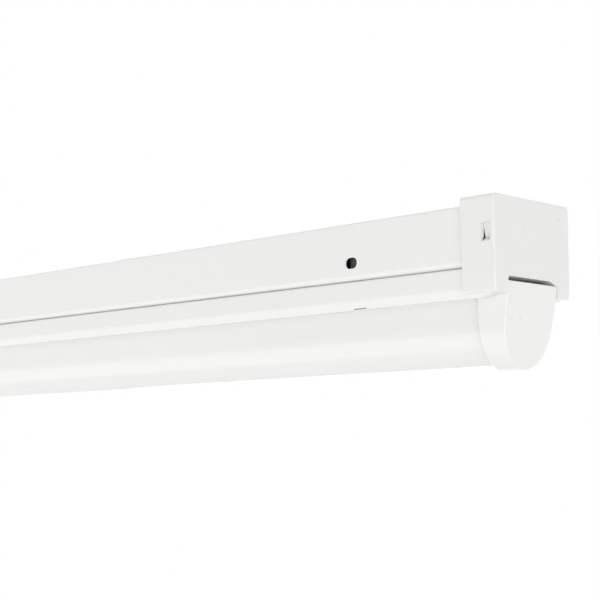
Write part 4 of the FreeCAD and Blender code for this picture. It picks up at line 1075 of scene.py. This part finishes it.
def make_wires():
    """Round wires on smooth lines through the places that hold them."""
    routes = {
        "live": ("brown", 0.9, [
            (73.0, -10, -32.8), (85.4, -10, -32.8), (96.8, -7, -31.3), (112.0, -7, -31.3),
        ]),
        "neutral": ("blue", 0.9, [
            (73.0, 0, -32.8), (85.4, 0, -32.8), (96.8, 1, -31.3), (112.0, 1, -31.3),
        ]),
        "earth": ("green", 0.9, [
            (73.0, 10, -32.8), (80.84, 10, -32.8), (87.3, 10, -36.1), (92.1, 10, -36.1),
        ]),
        "led_plus": ("red", 0.7, [
            (332.0, -3, -32.8), (343.3, -3, -32.8), (366.0, 13.4, -32.8), (366.0, 13.4, -41.9),
            (366.0, 8.0, -41.9),
        ]),
        "led_minus": ("black", 0.7, [
            (332.0, 3, -32.8), (342.0, 3, -32.8), (362.0, 13.4, -32.8), (362.0, 13.4, -41.9),
            (362.0, 8.0, -41.9),
        ]),
    }
    for name, (colour, radius, points) in routes.items():
        line = smooth_line(f"line_{name}", points)
        piece = make_object(f"sleeve_{name}", [tube(line, radius)])
        finish = f"wire_{colour}"
        dress(piece, "tray", finish, [f"wire_{name}"], 50.0)


def make_earth_tag():
    """The earth wire's ring tag: a flat plate with a screw hole and a rolled barrel."""
    turn = np.linspace(math.pi / 2, -math.pi / 2, 15)
    plate = np.concatenate([
        [(92.4, -3.4), (90.5, -2.0), (87.3, -2.0)],
        [(87.3, 2.0), (90.5, 2.0), (92.4, 3.4)],
        np.stack([95.9 + 3.45 * np.cos(turn), 3.45 * np.sin(turn)], axis=1),
    ]) + (0.0, EARTH_SCREW[1])
    tag = make_object("ring_tag", [upright(plate, TRAY_SEAT, TAG_TOP)])
    carve(tag, [("DIFFERENCE", [upright(circle(EARTH_SCREW, SCREW_HOLE, 20), -38.5, -36.0)])])
    angle = np.linspace(-2.6, 2.6, 22)
    spoke = np.stack([np.sin(angle), -np.cos(angle)], axis=1)
    wall = np.concatenate([spoke * 1.4, spoke[::-1] * 0.95]) + (EARTH_SCREW[1], -36.1)
    carve(tag, [("UNION", [bar(wall, 87.4, 91.4)])])
    soften(tag, 0.08, 1, 50.0)
    dress(tag, "tray", "tag_brass", ["earth_tag"])


make_spine()
make_tray()
make_diffuser()
make_grommet()
make_board_clips()
make_board_links()
make_board_socket()
make_driver_case()
make_screws()
make_terminal()
make_wires()
make_earth_tag()
for board_number, board_middle in enumerate(board_middles(), start=1):
    make_light_board(board_number, board_middle)
    make_latch_spring(board_number)
for end_name, end_side in (("right", 1), ("left", -1)):
    make_end_cap(f"end_cap_{end_name}", end_side)
    make_shoe(f"diffuser_cap_{end_name}", end_side)


# Stage, light and camera


def make_stage():
    """A plain pale floor far below, whose glow for the camera alone keeps the page white."""
    reach, low, high = 24000.0, -4510.0, -4500.0
    floor = make_object("floor", [box((-reach, -reach, low), (reach, reach, high))])
    made = Finish("floor_paint", Roughness=0.9)
    made.colour(made.blend(made.noise(2.0, 2), (0.8, 0.8, 0.8), (0.82, 0.82, 0.82)))
    seen = made.node("LightPath")
    glow = made.combined(seen.outputs["Is Camera Ray"], seen.outputs["Is Glossy Ray"], "MAXIMUM")
    glow = made.combined(glow, FLOOR_GLOW, "MULTIPLY")
    made.shader.inputs["Emission Color"].default_value = (1, 1, 1, 1)
    made.link(glow, made.shader.inputs["Emission Strength"])
    floor.data.materials.append(made.material)


def make_world(level):
    """An even white world: the light at a level, and plain white for the camera and reflections."""
    world = bpy.data.worlds.new("studio")
    world.use_nodes = True
    tree = world.node_tree
    background = next(n for n in tree.nodes if n.type == "BACKGROUND")
    seen = tree.nodes.new("ShaderNodeLightPath")
    shown = seen.outputs["Is Camera Ray"]
    for kind in ("Is Glossy Ray", "Is Transmission Ray"):
        either = tree.nodes.new("ShaderNodeMath")
        either.operation = "MAXIMUM"
        tree.links.new(shown, either.inputs[0])
        tree.links.new(seen.outputs[kind], either.inputs[1])
        shown = either.outputs[0]
    strength = tree.nodes.new("ShaderNodeMapRange")
    strength.inputs["To Min"].default_value = level
    strength.inputs["To Max"].default_value = 1.0
    tree.links.new(shown, strength.inputs["Value"])
    background.inputs["Color"].default_value = (1, 1, 1, 1)
    tree.links.new(strength.outputs[0], background.inputs["Strength"])
    bpy.context.scene.world = world


def turned_and_placed(right, up, back, place):
    """The matrix whose columns are three directions and a place."""
    matrix = np.eye(4)
    matrix[:3] = np.column_stack([right, up, back, place])
    return Matrix(matrix.tolist())


def make_lamp(name, place, aim, size, power):
    """A large soft lamp at a place, in metres, turned towards an aim."""
    lamp = bpy.data.lights.new(name, "AREA")
    lamp.shape = "RECTANGLE"
    lamp.size, lamp.size_y = size
    lamp.energy = power
    holder = bpy.data.objects.new(name, lamp)
    bpy.context.scene.collection.objects.link(holder)
    back = np.array(place, float) - np.array(aim, float)
    back /= np.linalg.norm(back)
    right = np.cross((0, 0, 1) if abs(back[2]) < 0.95 else (0, 1, 0), back)
    right /= np.linalg.norm(right)
    up = np.cross(back, right)
    holder.matrix_world = turned_and_placed(right, up, back, place)
    holder.visible_camera = False


def make_camera():
    """The camera's place, turn and lens, as solved from the photographed fitting's edges."""
    place = (1.01999, -0.57590, -0.12622)
    azimuth, elevation, roll = 0.7874648, -0.1102185, -0.0026023
    back = np.array([
        math.sin(azimuth) * math.cos(elevation),
        -math.cos(azimuth) * math.cos(elevation),
        math.sin(elevation),
    ])
    level = np.cross((0, 0, 1), back)
    level /= np.linalg.norm(level)
    rise = np.cross(back, level)
    right = level * math.cos(roll) + rise * math.sin(roll)
    up = rise * math.cos(roll) - level * math.sin(roll)
    data = bpy.data.cameras.new("camera")
    data.sensor_width = 36.0
    data.lens = 89.04
    data.clip_end = 100.0
    holder = bpy.data.objects.new("camera", data)
    holder.matrix_world = turned_and_placed(right, up, back, place)
    bpy.context.scene.collection.objects.link(holder)
    bpy.context.scene.camera = holder


make_camera()
make_stage()
make_world(level=0.685)
for lamp_name, lamp_place, lamp_aim, lamp_size, lamp_power in (
    ("low_softbox", (-0.7, -0.96, -0.80), (-0.7, 0.0, -0.055), (4.4, 0.92), 10.3),
    ("end_softbox", (2.4, -0.9, -0.25), (0.6, 0.0, -0.04), (1.3, 1.3), 11.6),
    ("front_softbox", (-1.2, -0.9, 0.1), (0.2, 0.0, -0.04), (0.9, 0.9), 0.7),
    ("under_softbox", (-0.2, 0.1, -1.3), (-0.2, 0.0, 0.0), (5.0, 1.6), 2.2),
    ("back_softbox", (-2.0, 2.4, 1.2), (-0.1, 0.0, 0.0), (3.6, 2.0), 32.0),
    ("rear_softbox", (0.0, 1.8, -0.5), (0.0, 0.0, -0.05), (4.0, 1.2), 10.0),
):
    make_lamp(lamp_name, lamp_place, lamp_aim, lamp_size, lamp_power)

bpy.context.scene.view_settings.view_transform = "Standard"
